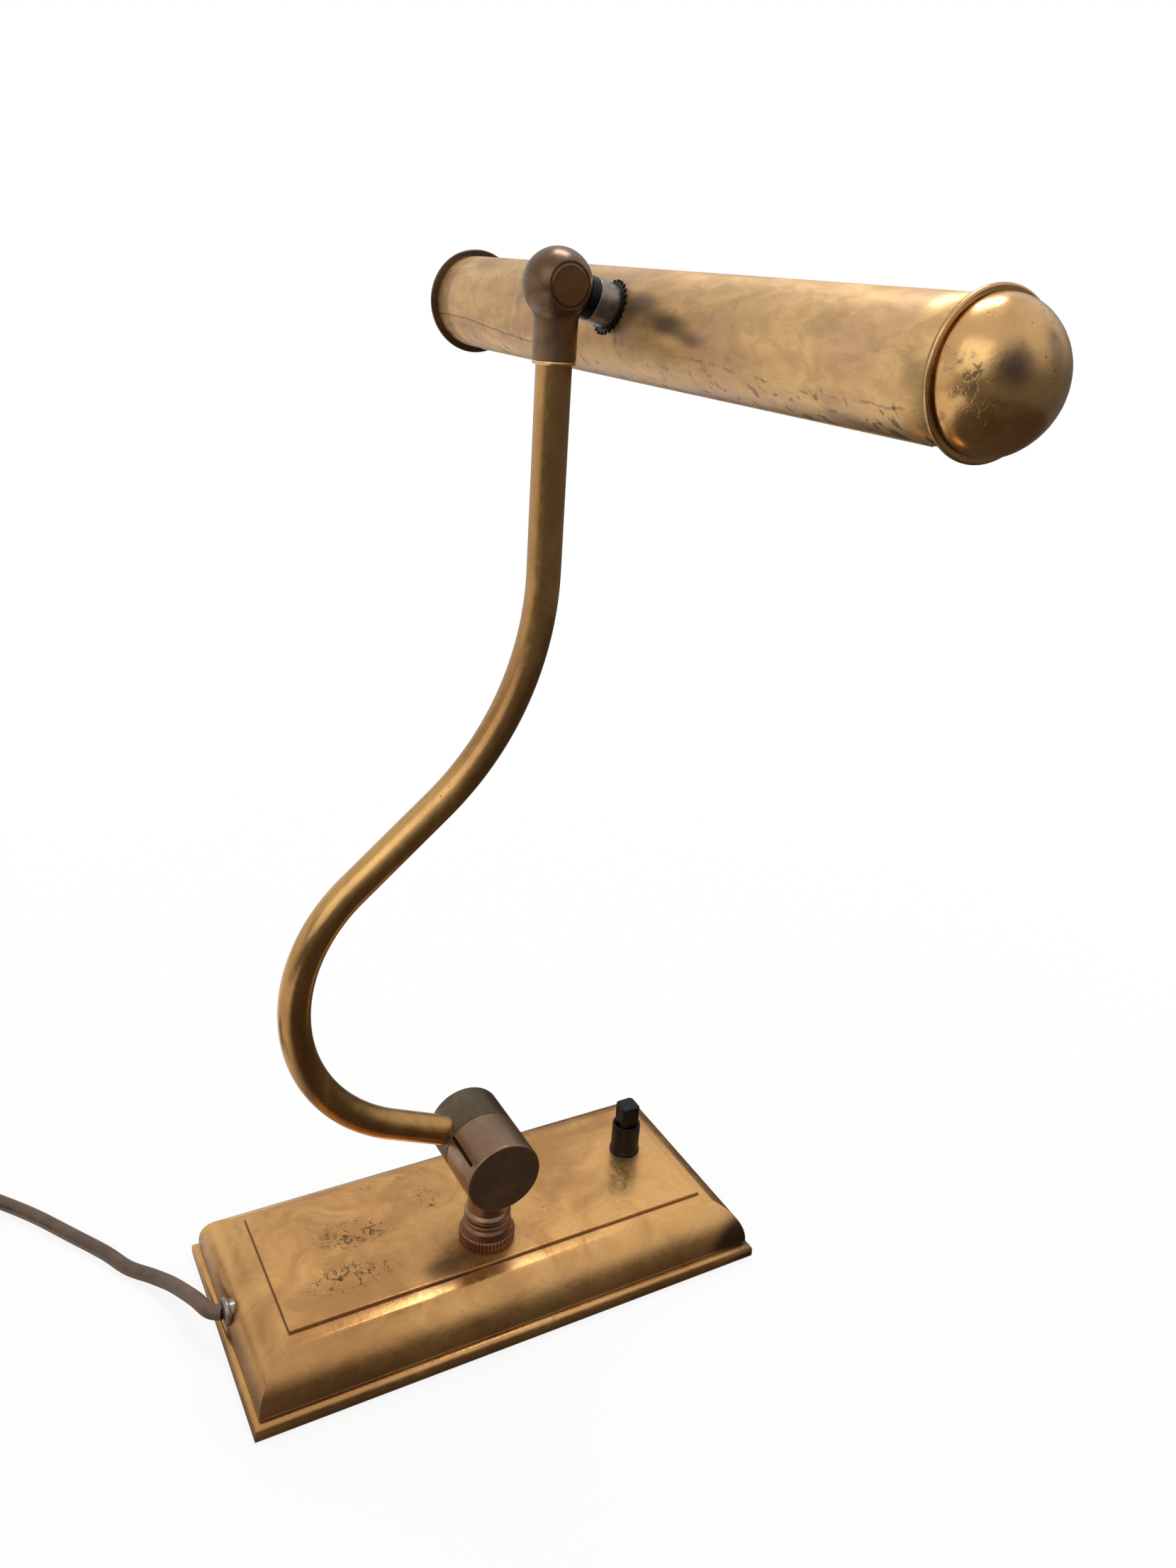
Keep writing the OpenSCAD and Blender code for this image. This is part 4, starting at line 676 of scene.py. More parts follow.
DRUM = (-4.0, 68.7)
DRUM_R, DRUM_FRONT, SEAM, DRUM_BACK = 15.5, -32.0, -10.0, 9.0
SEAM_HALF, BOLT_HOLE, CASTING = 0.1, 2.52, 1.5
SLIT, SLIT_DEEP, SLIT_HALF, SLIT_FROM = math.radians(147), 3.2, 0.8, 3.0
drum_axis = Axis((DRUM[0], 0, DRUM[1]), (0, 1, 0), (1, 0, 0))
front_end, rear_end = SEAM - SEAM_HALF, SEAM + SEAM_HALF
front_profile = rounded([(0, DRUM_FRONT, 0), (DRUM_R, DRUM_FRONT, 1.0), (DRUM_R, front_end, 0.3),
                         (5, front_end, 0), (0, front_end, 0)], 6)
neck_profile = rounded([(0, 40.4, 0), (8.9, 40.4, 0.5), (9.5, 41.4, 0.7), (9.5, 42.9, 0.7), (8.9, 43.8, 0.4),
                        (8.4, 44.3, 0.3), (8.4, 50.2, 2.5), (10.2, 56.5, 1.0), (8.0, 61.0, 0),
                        (0, 61.0, 0)], 6)
stud_room = [(0, 40), (STUD_HOLE, 40), (STUD_HOLE, 49), (7, 49), (7, 61.5), (0, 61.5)]
bolt_from = DRUM_FRONT + CASTING
bolt_room = [(0, bolt_from), (BOLT_HOLE, bolt_from), (BOLT_HOLE, SEAM + 1), (0, SEAM + 1)]
front = solid("drum_front_half", [turned(drum_axis, front_profile, 128)], bronze, "post",
              ["drum_front"], 32)
carve(front, turned(post_axis, neck_profile, 96), "UNION")
carve(front, turned(post_axis, stud_room, 64))
carve(front, turned(drum_axis, bolt_room, 48))


def along_slit(corners):
    """Turns a box drawn along X so that it lies along the slit's direction round the drum."""
    x, y, z = corners.T
    c, s = math.cos(SLIT), math.sin(SLIT)
    return np.column_stack([DRUM[0] + x * c - z * s, y, DRUM[1] + x * s + z * c])


slit_low = (DRUM_R - SLIT_DEEP, DRUM_FRONT + SLIT_FROM, -SLIT_HALF)
carve(front, block(slit_low, (DRUM_R + 3, SEAM + 2, SLIT_HALF), along_slit))

rear_profile = rounded([(2.55, rear_end, 0), (DRUM_R, rear_end, 0.3), (DRUM_R, DRUM_BACK, 1.0),
                        (2.55, DRUM_BACK, 0)], 6)
solid("drum_rear_half", [turned(drum_axis, rear_profile, 128, closed=True)], olive_bronze, "arm",
      ["drum_rear"], 32)
print("drum swivel ready")

# %% [markdown]
# ## The arm
# A bent tube is a circle swept along its centre line. The line is three straight runs and two
# arcs in one upright plane, each starting in the direction in which the last one ended.

# %% The arm's centre line
ARM_Y, ARM_R = -1.9, 6.0
ARM_EXIT, ARM_LEAN = math.radians(24.5), math.radians(49)
ROOT_LEN, LOW_R, MID_LEN, TOP_R, TOP_LEN, ARM_START = 39.0, 64.0, 43.0, 110.5, 79.0, 10.0


def bent_line():
    """Runs and arcs end to end. A run goes its length straight on. An arc turns the heading by
    an angle round a hub that lies square to it: hub = here + radius * normal."""
    here, heading = np.array(DRUM), math.pi - ARM_EXIT
    low_turn = (math.pi / 2 - ARM_LEAN) - heading
    line = []
    for size, turn_by in ((ROOT_LEN, 0), (LOW_R, low_turn), (MID_LEN, 0), (TOP_R, ARM_LEAN), (TOP_LEN, 0)):
        if turn_by:
            t = np.linspace(0, turn_by, int(abs(turn_by) * 60) + 2)
            left = math.copysign(size, turn_by)
            normal = np.array([-math.sin(heading), math.cos(heading)])
            heading_at = heading + t
            piece = here + left * (normal + np.column_stack([np.sin(heading_at), -np.cos(heading_at)]))
            heading += turn_by
        else:
            t = np.linspace(0, size, int(size / 3) + 1)[:, None]
            piece = here + t * np.array([math.cos(heading), math.sin(heading)])
        line.append(piece if not line else piece[1:])
        here = piece[-1]
    line = np.vstack(line)
    line = line[np.linalg.norm(line - np.array(DRUM), axis=1) > ARM_START]
    return np.column_stack([line[:, 0], np.full(len(line), ARM_Y), line[:, 1]])


arm_line = bent_line()
HEAD_X, TUBE_END = float(arm_line[-1, 0]), float(arm_line[-1, 2])
BALL_RISE = 13.0  # from the tube's end to the middle of the ball
BALL_Z = TUBE_END + BALL_RISE
solid("arm_tube_swept", [swept(arm_line, ARM_R, 64)], arm_brass, "arm", ["arm_tube"], 60)
print("arm ends at x", round(HEAD_X, 2), "z", round(TUBE_END, 2))

# %% [markdown]
# ## The ball knuckle
# The ball and its neck are one turning with a soft fillet between them. Two flats are cut on
# it, and each carries a wide, low screw head in a shallow recess. A slot at the back lets the
# stem of the shade swing, and it only opens to view when the shade is tilted.

# %% The knuckle
BALL_R, NECK_R, NECK_LOW, CHEEK, TUBE_HOLE = 11.3, 7.2, -23.0, 8.6, 6.02
SLOT_HALF, EYE_ROOM, CLEAR, DISH_R = 3.2, 7.2, 20, 11.4
DROOP, TILT_DOWN, TILT_UP = math.radians(17.5), math.radians(3), math.radians(50)
ball = np.array([HEAD_X, ARM_Y, BALL_Z])
ball_axis = Axis(ball, (0, 0, 1), (1, 0, 0))
latitudes = np.radians(np.linspace(90, -44, 40))
ball_side = np.column_stack([BALL_R * np.cos(latitudes), BALL_R * np.sin(latitudes)])
neck_side = [(NECK_R + 0.25, -9.3), (NECK_R + 0.06, -10.2), (NECK_R, -11.2), (NECK_R, NECK_LOW + 0.4),
             (NECK_R - 0.3, NECK_LOW), (TUBE_HOLE, NECK_LOW), (TUBE_HOLE, -BALL_RISE), (0, -BALL_RISE)]
knuckle = solid("knuckle_ball", [turned(ball_axis, np.vstack([ball_side, neck_side]), 96)], dark_bronze,
                "arm", ["knuckle_body"], 32)


def at_ball(corners):
    return corners + ball


recess = [(0, CHEEK - 0.6), (6.75, CHEEK - 0.6), (6.75, CHEEK + 2), (0, CHEEK + 2)]
cheek_axes = [Axis(ball, (0, side, 0), (1, 0, 0)) for side in (-1, 1)]
for (low, high), cheek_axis in zip([(-CLEAR, -CHEEK), (CHEEK, CLEAR)], cheek_axes):
    carve(knuckle, block((-CLEAR, low, -CLEAR), (CLEAR, high, CLEAR), at_ball))
    carve(knuckle, turned(cheek_axis, recess, 96))


def ray(radius, angle):
    """A point so far from the ball's middle, at an angle up from level."""
    return radius * math.cos(angle), radius * math.sin(angle)


slot_low, slot_high = -DROOP - TILT_DOWN, -DROOP + TILT_UP
fan = [ray(CLEAR + 2, a) for a in np.linspace(slot_low - 0.15, slot_high + 0.15, 12)]
wedge = [ray(SLOT_HALF, slot_low - 1.57), *fan, ray(SLOT_HALF, slot_high + 1.57)]
sides = np.array([[(x, y, z) for x, z in wedge] for y in (-SLOT_HALF, SLOT_HALF)])
count = len(wedge)
wedge_faces = quads(2, count, False, True).tolist()
wedge_faces += [list(range(count)), list(range(2 * count - 1, count - 1, -1))]
carve(knuckle, (at_ball(sides.reshape(-1, 3)), wedge_faces))
carve(knuckle, turned(cheek_axes[1], [(0, -4), (EYE_ROOM, -4), (EYE_ROOM, 4), (0, 4)], 64))

lowest = (math.cos(slot_low), 0, math.sin(slot_low))
relief = [(DISH_R * math.sin(a), DISH_R * math.cos(a)) for a in np.radians([20, 26, 32, 37])]
relief += [(7.25, 8.7), (7.25, 13), (3.9, 13)]
carve(knuckle, turned(Axis(ball, lowest, (0, 1, 0)), relief, 72, closed=True))

screw_profile = rounded([(0, 8.92, 0), (5.9, 8.9, 0.1), (6.6, 8.55, 0.25), (6.6, 8.02, 0), (2, 8.02, 0),
                         (2, 1.2, 0), (0, 1.2, 0)], 4)
screws = [turned(cheek_axis, screw_profile, 96) for cheek_axis in cheek_axes]
solid("pivot_screw_pair", screws, dark_bronze, "arm", ["pivot_screws"], 32)
ring_profile = rounded([(TUBE_HOLE, -24.2, 0), (7.1, -24.2, 0.3), (7.2, -23.6, 0.3), (7.1, -23.02, 0.2),
                        (TUBE_HOLE, -23.02, 0), (TUBE_HOLE, -24.2, 0)])
solid("neck_ring_bright", [turned(ball_axis, ring_profile[:-1], 96, closed=True)], edge_brass, "arm",
      ["neck_ring"], 40)
print("knuckle ready")

# %% [markdown]
# ## The shade
# The shade is a thin tube, open along a wide slot on the side that faces the music. It is a
# grid of angle by length with the cells of the slot left out, and a Solidify modifier gives
# it its wall. A bead runs along each edge of the slot, as if the sheet were rolled over.

# %% The head's own frame
SHADE_REACH, SHADE_R, SHADE_WALL = 39.0, 18.1, 0.9
SHADE_SHIFT, SHADE_LEN, SLOT_END = -2.5, 300.0, 14.0
SLOT_AIM, SLOT_OPEN = math.radians(-36.5), math.radians(84)
head_x = np.array([math.cos(DROOP), 0, -math.sin(DROOP)])
head_z = np.array([math.sin(DROOP), 0, math.cos(DROOP)])


def in_head(points):
    """Points given as (along the stem, along the shade, up) in the lamp's frame."""
    points = np.asarray(points, float)
    level_part = points[..., :1] * head_x + points[..., 1:2] * np.array([0, 1, 0])
    return ball + level_part + points[..., 2:] * head_z


stem_axis = Axis(ball, head_x, head_z)
shade_mid = in_head([(SHADE_REACH, SHADE_SHIFT, 0)])[0]

# %% [markdown]
# The shade's lacquer has aged differently from the base: golden tan with pinkish clouds,
# satin, with a burnt smear beside the stem, pale oval water marks towards the far end, a thin
# crease that wanders along the lower side with painted shade along it, dark drops below, and
# painted shade on the underside.
#
# ## The end caps' finish
# The near cap is golden with a painted dark reflection and pits on its dome, and painted
# shadow in its groove. The far cap is blackened.

# %% The shade's finish
SHADE_BRIGHT, SHADE_DULL, SHADE_DARK = colour(236, 194, 132), colour(200, 158, 104), colour(76, 51, 35)


def shade_marks(board, at):
    """The smear, the hairline, the drops and the haze, and painted shade along the crease and on
    the underside, as masks round their places.
    """
    wander = board.noise(at, 60, 4, 0.6, 0.5)
    smear = board.spots(at, ((37, 0, 395), (10, 9, 7), 0.9, 0.8), ((36, -20, 391), (9, 18, 7), 0.9, 0.85),
                        ((35, -38, 386), (9, 18, 5.5), 0.9, 1), ((34.6, -52, 382.5), (9, 13, 4), 0.9, 0.7),
                        ((36, -12, 384), (12, 12, 16), 0.9, 0.5)) * board.step(wander, 0.26, 0.46)
    tick = board.spots(at, ((35.6, -8, 377.4), (8, 4, 4), 0.7, 1)) * board.step(wander, 0.42, 0.55)
    along, rise = board.part(at, 1), board.part(at, 2)
    # painted shade: a dark wandering line along a crease on the lower side, also pressed in as a dent
    line = rise - 0.3740 - (wander - 0.5) * 0.0032 - board.step(along, -0.105, -0.049) * 0.0035
    painted_crease_shade = board.step(line, -0.0009, -0.0001) * board.step(line, 0.0007, 0.0001)
    broken = board.step(board.noise(at, 130, 4, 0.7), 0.44, 0.56)
    painted_crease_shade = painted_crease_shade * board.step(along, -0.024, -0.054) * broken
    hair = rise - 0.3780 + board.step(along, 0.126, 0.057) * 0.0045 - (wander - 0.5) * 0.002
    hair = board.step(hair, -0.0006, -0.0001) * board.step(hair, 0.0006, 0.0001)
    hair = hair * board.step(along, 0.046, 0.066) * 0.6
    drops = board.step(board.noise(board.moved(at, scale=(1, 1, 0.45)), 240, 2, 0.5, 0.6), 0.60, 0.68)
    drops = drops * board.step(rise, 0.380, 0.3695) * 0.7
    ends = board.spots(at, ((34.6, -148, 384), (10, 7, 9), 0.9, 0.35),
                       ((39, -141, 395), (10, 16, 6), 0.9, 0.25), ((45, -135.5, 366.8), (5, 3, 3), 0.6, 0.9))
    # painted shade: the lower side of the tube darker towards the bottom
    painted_underside_shade = board.step(rise, 0.3725, 0.3645) * 0.4
    haze = board.step(board.noise(board.moved(at, scale=(1, 0.5, 1)), 26, 5, 0.65, 0.7), 0.50, 0.70) * 0.42
    total = smear + tick + painted_crease_shade * 0.5 + hair + drops + ends + painted_underside_shade + haze
    raised = painted_crease_shade * -0.8 + drops * 0.3 + (wander - 0.5) * 0.6
    return board.step(total, 0.0, 1.05) * 0.88, smear * 0.5 + drops * 0.3, raised


def cap_marks(board, at):
    """A blackened far cap, painted shadow in the near groove, a painted dark reflection on the
    near dome and pits beside it.
    """
    along = board.part(at, 1)
    far = board.step(along, 0.140, 0.146) * 0.85
    # painted shadow in the groove between the near cap's flange and its dome
    painted_groove_shadow = board.step(along, -0.1556, -0.1549) * board.step(along, -0.1536, -0.1541) * 0.7
    flecks = board.step(board.noise(at, 420, 2, 0.6, 0.4), 0.54, 0.62)
    pits = flecks * board.spots(at, ((37, -164, 383), (8, 8, 8), 0.8, 0.5),
                                ((43, -167, 375), (8, 7, 7), 0.8, 0.5))
    # painted shade: a soft dark reflection on the near dome
    painted_shade = board.spots(at, ((44, -171, 387), (9, 8, 10), 0.95, 0.8), ((55, -172, 392), (6, 9, 14), 0.9, 0.5))
    return far + painted_groove_shadow + pits + painted_shade, pits * 0.4, pits * -0.7


cap_brass = aged_brass("cap_brass", (224, 178, 116), (186, 140, 90), (62, 42, 28), (0.16, 0.30), 0.45, 0.9,
                       cap_marks, 0.95, 0.0002, clear=0.35)


def make_shade(board, at):
    """Tan lacquer over brass: clouds of two tones, pink ones, pale rings, then the dark marks,
    some of them painted shade.
    """
    flow = board.moved(at, scale=(1, 0.35, 1))
    broad = board.noise(flow, 14, 2, 0.5, 0.5)
    cloud = board.noise(flow, 60, 5, 0.6, 0.9)
    grain = board.noise(at, 500, 3, 0.6)
    tone = board.step(broad * 0.6 + cloud * 0.4, 0.38, 0.62)
    base = board.blend(tone, SHADE_DULL, SHADE_BRIGHT)
    pink = board.step(board.noise(at, 26, 2, 0.5), 0.45, 0.62) * 0.45
    base = board.blend(pink, base, colour(204, 158, 128))
    places = ((97, (14, 8.5, 11), 0.1), (79, (14, 8, 11), 0.1), (61, (14, 9, 12), 0.08))
    rings = sum(board.ring(at, (34.6, y, 386), radii, width) for y, radii, width in places) * 0.5
    base = board.blend(rings, base, colour(232, 200, 162))
    # shade_marks gives real stains and painted shade together
    dirt_and_painted_shade, rough_more, raised = shade_marks(board, at)
    fine = board.step(board.noise(board.moved(at, scale=(1, 0.5, 1)), 170, 5, 0.7, 0.5), 0.42, 0.62) * 0.3
    base = board.blend(fine, base, colour(150, 110, 74))
    base = board.blend(dirt_and_painted_shade, base, SHADE_DARK)
    rough = board.step(grain * 0.4 + cloud * 0.6, 0.3, 0.7, 0.38, 0.52) + rough_more * 0.2
    level = cloud * 0.5 + broad * 1.5 + grain * 0.06 + raised * 0.3
    return {"Base Color": base, "Roughness": rough, "Metallic": 0.80 - dirt_and_painted_shade * 0.4,
            "Normal": board.bump(level, 0.0004)}


shade_brass = finish("shade_brass", make_shade, {"Coat Weight": 0.25, "Coat Roughness": 0.3})

# %% The shade's tube
SLOT_CELLS, WALL_CELLS, HEM_R, HEM_PAST = 24, 96, 0.8, 1.5
slot_from, slot_to = SLOT_AIM - SLOT_OPEN / 2, SLOT_AIM + SLOT_OPEN / 2
angles = np.concatenate([np.linspace(slot_from, slot_to, SLOT_CELLS + 1)[:-1],
                         np.linspace(slot_to, slot_from + 2 * math.pi, WALL_CELLS + 1)[:-1]])
y_near, y_far = SHADE_SHIFT - SHADE_LEN / 2, SHADE_SHIFT + SHADE_LEN / 2
stations = np.array([y_near, *np.linspace(y_near + SLOT_END, y_far - SLOT_END, 41), y_far])
along, round_it = np.meshgrid(stations, angles, indexing="ij")
grid = in_head(np.stack([SHADE_REACH + SHADE_R * np.cos(round_it), along, SHADE_R * np.sin(round_it)], -1))
cells = quads(len(stations), len(angles), False, True)
row, column = cells[:, 0] // len(angles), cells[:, 0] % len(angles)
in_slot = (row > 0) & (row < len(stations) - 2) & (column < SLOT_CELLS)
shade = solid("shade_skin", [(grid.reshape(-1, 3), cells[~in_slot])], shade_brass, "head", ["shade_tube"], 50)
skin = shade.data
normals, centres = np.zeros((2, len(skin.polygons) * 3))
skin.polygons.foreach_get("normal", normals)
skin.polygons.foreach_get("center", centres)
from_axis = (centres.reshape(-1, 3) - shade_mid * MM) * (1, 0, 1)
if (normals.reshape(-1, 3) * from_axis).sum() < 0:
    skin.flip_normals()
wall = shade.modifiers.new("wall", "SOLIDIFY")
wall.thickness, wall.offset = SHADE_WALL * MM, -1.0
hem_at = SHADE_R - SHADE_WALL / 2
hem_y = np.linspace(y_near + SLOT_END - HEM_PAST, y_far - SLOT_END + HEM_PAST, 40)
hem_lines = [in_head([(SHADE_REACH + hem_at * math.cos(a), y, hem_at * math.sin(a)) for y in hem_y])
             for a in (slot_from, slot_to)]
solid("shade_beads", [swept(path, HEM_R, 20) for path in hem_lines], shade_brass, "head")
print("shade from y", y_near, "to", y_far)

# %% [markdown]
# ## The end caps
# Each cap is spun brass: a skirt inside the tube, a thin rolled flange, a groove and a dome
# whose shoulder arc runs into a flatter crown. The two arcs meet with one tangent.

# %% The caps
FLANGE_R, FLANGE_T, GROOVE_W, GROOVE_R = 20.7, 1.6, 0.8, 17.6
DOME_R, DOME_H, SHOULDER = 18.9, 16.0, 11.5
CAP_GAP = 0.02
SKIRT_R, SKIRT_L, CAP_WALL = SHADE_R - SHADE_WALL - CAP_GAP, 7.0, 0.8


def dome_arc(radius, height, shoulder, count=14):
    """The shoulder arc, then the crown arc that shares its tangent, down to the axis."""
    hub = radius - shoulder
    drop = (hub**2 - (height - shoulder) ** 2) / (2 * (height - shoulder))
    crown = height + drop
    meet = math.atan2(drop, hub)
    low = np.linspace(0, meet, count)
    high = np.linspace(meet, math.pi / 2, count)[1:]
    return np.vstack([np.column_stack([hub + shoulder * np.cos(low), shoulder * np.sin(low)]),
                      np.column_stack([crown * np.cos(high), crown * np.sin(high) - drop])])


foot = FLANGE_T + GROOVE_W
skirt_in = SKIRT_R - CAP_WALL
outside = rounded([(skirt_in, -SKIRT_L, 0), (SKIRT_R, -SKIRT_L, 0.1), (SKIRT_R, 0, 0), (FLANGE_R, 0, 0.7),
                   (FLANGE_R, FLANGE_T, 0.7), (GROOVE_R, FLANGE_T, 0.1), (GROOVE_R, foot, 0.1),
                   (DOME_R, foot, 0)])
dome = dome_arc(DOME_R, DOME_H, SHOULDER) + (0, foot)
inside = dome_arc(skirt_in, DOME_H - CAP_WALL, SHOULDER - CAP_WALL - 1)[::-1] + (0, foot)
cap_profile = np.vstack([outside[:-1], dome, inside, [(skirt_in, -SKIRT_L)]])
for node, way, end_y in (("cap_far", 1, y_far), ("cap_near", -1, y_near)):
    axis = Axis(in_head([(SHADE_REACH, end_y + way * CAP_GAP, 0)])[0], (0, way, 0), head_z)
    solid(node + "_dome", [turned(axis, cap_profile, 128)], cap_brass, "head", [node], 32)
print("caps ready")

# %% [markdown]
# ## The stem: friction washer, sleeve and lock washer
# Between the ball and the shade sit a black dished washer, a grey steel sleeve and a black
# lock washer with teeth round its rim. The dish follows the ball.

# %% Stem pieces


def make_steel(board, at):
    """Grey darkened steel, clouded and finely grained."""
    cloud = board.noise(at, 90, 4, 0.6, 0.4)
    grain = board.noise(at, 800, 3, 0.6)
    share = board.step(cloud * 0.6 + grain * 0.4, 0.35, 0.65)
    base = board.blend(share, colour(118, 110, 104), colour(152, 144, 136))
    return {"Base Color": base, "Roughness": board.step(grain, 0.3, 0.7, 0.3, 0.42),
            "Normal": board.bump(cloud, 0.00008)}


sleeve_steel = finish("sleeve_steel", make_steel, {"Metallic": 0.9, "Coat Weight": 0.1})


def make_black(board, at):
    """Blackened steel or moulded black with dust in its grain."""
    cloud = board.noise(at, 120, 4, 0.6)
    base = board.blend(board.step(cloud, 0.4, 0.7), colour(6, 6, 6), colour(15, 14, 13))
    return {"Base Color": base, "Roughness": board.step(cloud, 0.3, 0.7, 0.32, 0.46),
            "Normal": board.bump(board.noise(at, 600, 3, 0.6), 0.00004)}


washer_black = finish("washer_black", make_black, {"Metallic": 0.5})
STEM_HOLE, SLEEVE_R, SLEEVE_X, SLEEVE_END = 3.05, 7.0, 12.5, 28.1
LOCK_X, LOCK_R, LOCK_T, LOCK_HOLE, TEETH, TOOTH_FOOT, TOOTH_DEEP = 20.06, 9.0, 0.8, 4.52, 24, 8.1, 0.9
dish = np.radians(np.linspace(16, 36, 8))
dish_side = np.column_stack([DISH_R * np.sin(dish), DISH_R * np.cos(dish)])
washer_back = rounded([(6.75, 9.12, 0), (6.9, 9.25, 0.1), (6.9, 12.4, 0.3), (STEM_HOLE, 12.4, 0),
                       (STEM_HOLE, 10.97, 0)])
washer = turned(stem_axis, np.vstack([dish_side, washer_back[1:]]), 96, closed=True)
solid("friction_dish", [washer], washer_black, "eye", ["friction_washer"], 40)
sleeve_side = rounded([(STEM_HOLE, SLEEVE_X, 0), (SLEEVE_R, SLEEVE_X, 0.3), (SLEEVE_R, LOCK_X, 0.15),
                       (4.5, LOCK_X, 0), (4.5, SLEEVE_END, 0.2), (STEM_HOLE, SLEEVE_END, 0),
                       (STEM_HOLE, SLEEVE_X, 0)])
solid("steel_sleeve", [turned(stem_axis, sleeve_side[:-1], 96, closed=True)], sleeve_steel, "head",
      ["sleeve"], 40)


def toothed(profile, angles, radius):
    """Radial teeth: the outer edge drops between them."""
    return radius - TOOTH_DEEP * (profile[:, :1] > TOOTH_FOOT) * (np.cos(angles * TEETH) < 0.1)


across = (LOCK_HOLE, TOOTH_FOOT, LOCK_R)
lock_side = [(r, LOCK_X + 0.02) for r in across] + [(r, LOCK_X + LOCK_T) for r in across[::-1]]
solid("toothed_washer", [turned(stem_axis, lock_side, TEETH * 12, toothed, True)], washer_black, "head",
      ["lock_washer"], 35)

# %% [markdown]
# ## Grommet and switch
# The flex leaves through a nickel tube with a rolled lip. The switch is a tall black collar
# with a small foot, and its button is a square with round corners and a bevelled crown,
# lofted from one outline at several heights.

# %% The grommet


def make_nickel(board, at):
    cloud = board.noise(at, 110, 4, 0.6, 0.4)
    base = board.blend(board.step(cloud, 0.35, 0.7), colour(150, 144, 136), colour(104, 98, 90))
    return {"Base Color": base, "Roughness": board.step(cloud, 0.3, 0.7, 0.28, 0.42),
            "Normal": board.bump(board.noise(at, 500, 3, 0.6), 0.00003)}


nickel = finish("nickel", make_nickel, {"Metallic": 0.95})
GROMMET_Z, LIP_X, LIP_RING, LIP_R = 15.0, -107.2, 4.325, 1.275
SEAT_X, FLANGE_X = -105.88, -99.45
grommet_axis = Axis((0, 0, GROMMET_Z), (1, 0, 0), (0, 0, 1))
roll = np.radians(np.linspace(180, 540, 40, endpoint=False))
lip = np.column_stack([LIP_RING + LIP_R * np.cos(roll), LIP_X + LIP_R * np.sin(roll)])
barrel = rounded([(3.05, LIP_X, 0), (4.3, LIP_X, 0), (4.3, FLANGE_X, 0.2), (5.6, FLANGE_X, 0.1),
                  (5.6, FLANGE_X + 1, 0.1), (3.05, FLANGE_X + 1, 0), (3.05, LIP_X, 0)])
seat = [(0, LIP_X - 8), (5.62, LIP_X - 8), (5.62, SEAT_X), (4.35, SEAT_X), (4.35, FLANGE_X), (0, FLANGE_X)]
carve(base, turned(grommet_axis, seat, 72))
grommet = [turned(grommet_axis, side, 72, closed=True) for side in (lip, barrel[:-1])]
solid("rolled_grommet", grommet, nickel, "base", ["cord_grommet"], 40)

edge = base.modifiers.new("mitres", "BEVEL")
edge.width, edge.segments, edge.limit_method, edge.angle_limit = 0.0004, 2, "ANGLE", math.radians(35)

# %% The switch's collar and button
SWITCH = (75.5, 6.0)
switch_axis = Axis((*SWITCH, 0), (0, 0, 1), (1, 0, 0))
switch_black = finish("switch_black", make_black, {"Specular IOR Level": 0.3})
tower = rounded([(5.02, BASE_H, 0), (6.75, BASE_H, 0.1), (6.75, 29.9, 0.5), (6.3, 30.4, 0.4),
                 (6.3, 42.7, 0.3), (6.15, 43.5, 0.4), (5.35, 43.5, 0.1), (5.35, 41.5, 0), (5.7, 41.5, 0),
                 (5.7, 33.5, 0),
                 (5.02, 33.5, 0), (5.02, BASE_H, 0)])
solid("switch_tower", [turned(switch_axis, tower[:-1], 96, closed=True)], switch_black, "base",
      ["switch_collar"], 40)


def rounded_square(width, corner, count=12):
    """The outline of a square with round corners, as (x, y)."""
    t = np.radians(np.linspace(0, 90, count))
    reach = width / 2 - corner
    corners = zip((1, -1, -1, 1), (1, 1, -1, -1), np.arange(4) * np.pi / 2)
    bends = [(x * reach + corner * np.cos(t + turn), y * reach + corner * np.sin(t + turn))
             for x, y, turn in corners]
    return np.hstack(bends).T


levels = [(8.4, 1.6, 41.0), (8.4, 1.6, 52.9), (8.3, 1.6, 53.1), (7.4, 1.4, 53.55), (7.0, 1.3, 53.68),
          (6.4, 1.1, 53.7)]  # width, corner radius, height
loops = [np.column_stack([rounded_square(w, c) + SWITCH, np.full(48, z)]) for w, c, z in levels]
button_faces = quads(len(levels), 48, False, True).tolist()
button_faces += [list(range(48))[::-1], list(range(48 * (len(levels) - 1), 48 * len(levels)))]
stem = rounded([(0, 23.5, 0), (2.0, 23.5, 0.2), (2.0, 40.2, 0), (5.5, 40.2, 0.1), (5.5, 41.2, 0),
                (0, 41.2, 0)])
solid("square_button", [(np.vstack(loops), button_faces), turned(switch_axis, stem, 64)], switch_black,
      "button", ["push_button"], 35)
print("stem, grommet and switch ready")

# %% [markdown]
# ## Bulbs
# Two tubular bulbs lie in the shade. The frame's own glass has the right shape, so it only
# gets a finish here: lightly frosted, so that the slot shows a soft white tube.

# %% Bulb glass


def make_glass(board, at):
    cloud = board.noise(at, 60, 2, 0.5)
    return {"Base Color": board.blend(cloud, (0.86, 0.86, 0.84, 1), (0.93, 0.93, 0.92, 1)),
            "Roughness": board.step(cloud, 0.3, 0.7, 0.16, 0.26)}


bulb_glass = finish("bulb_glass", make_glass, {"Transmission Weight": 0.55, "IOR": 1.45,
                                               "Coat Weight": 0.5, "Coat Roughness": 0.06})

# %% [markdown]
# ## The frame's own pieces
# What is left is right as it stands: nuts, bolts, the bracket, sockets, leads and what lies
# in the base. Each keeps its shape and gets a finish of its kind.

# %% Finishes for the frame's pieces


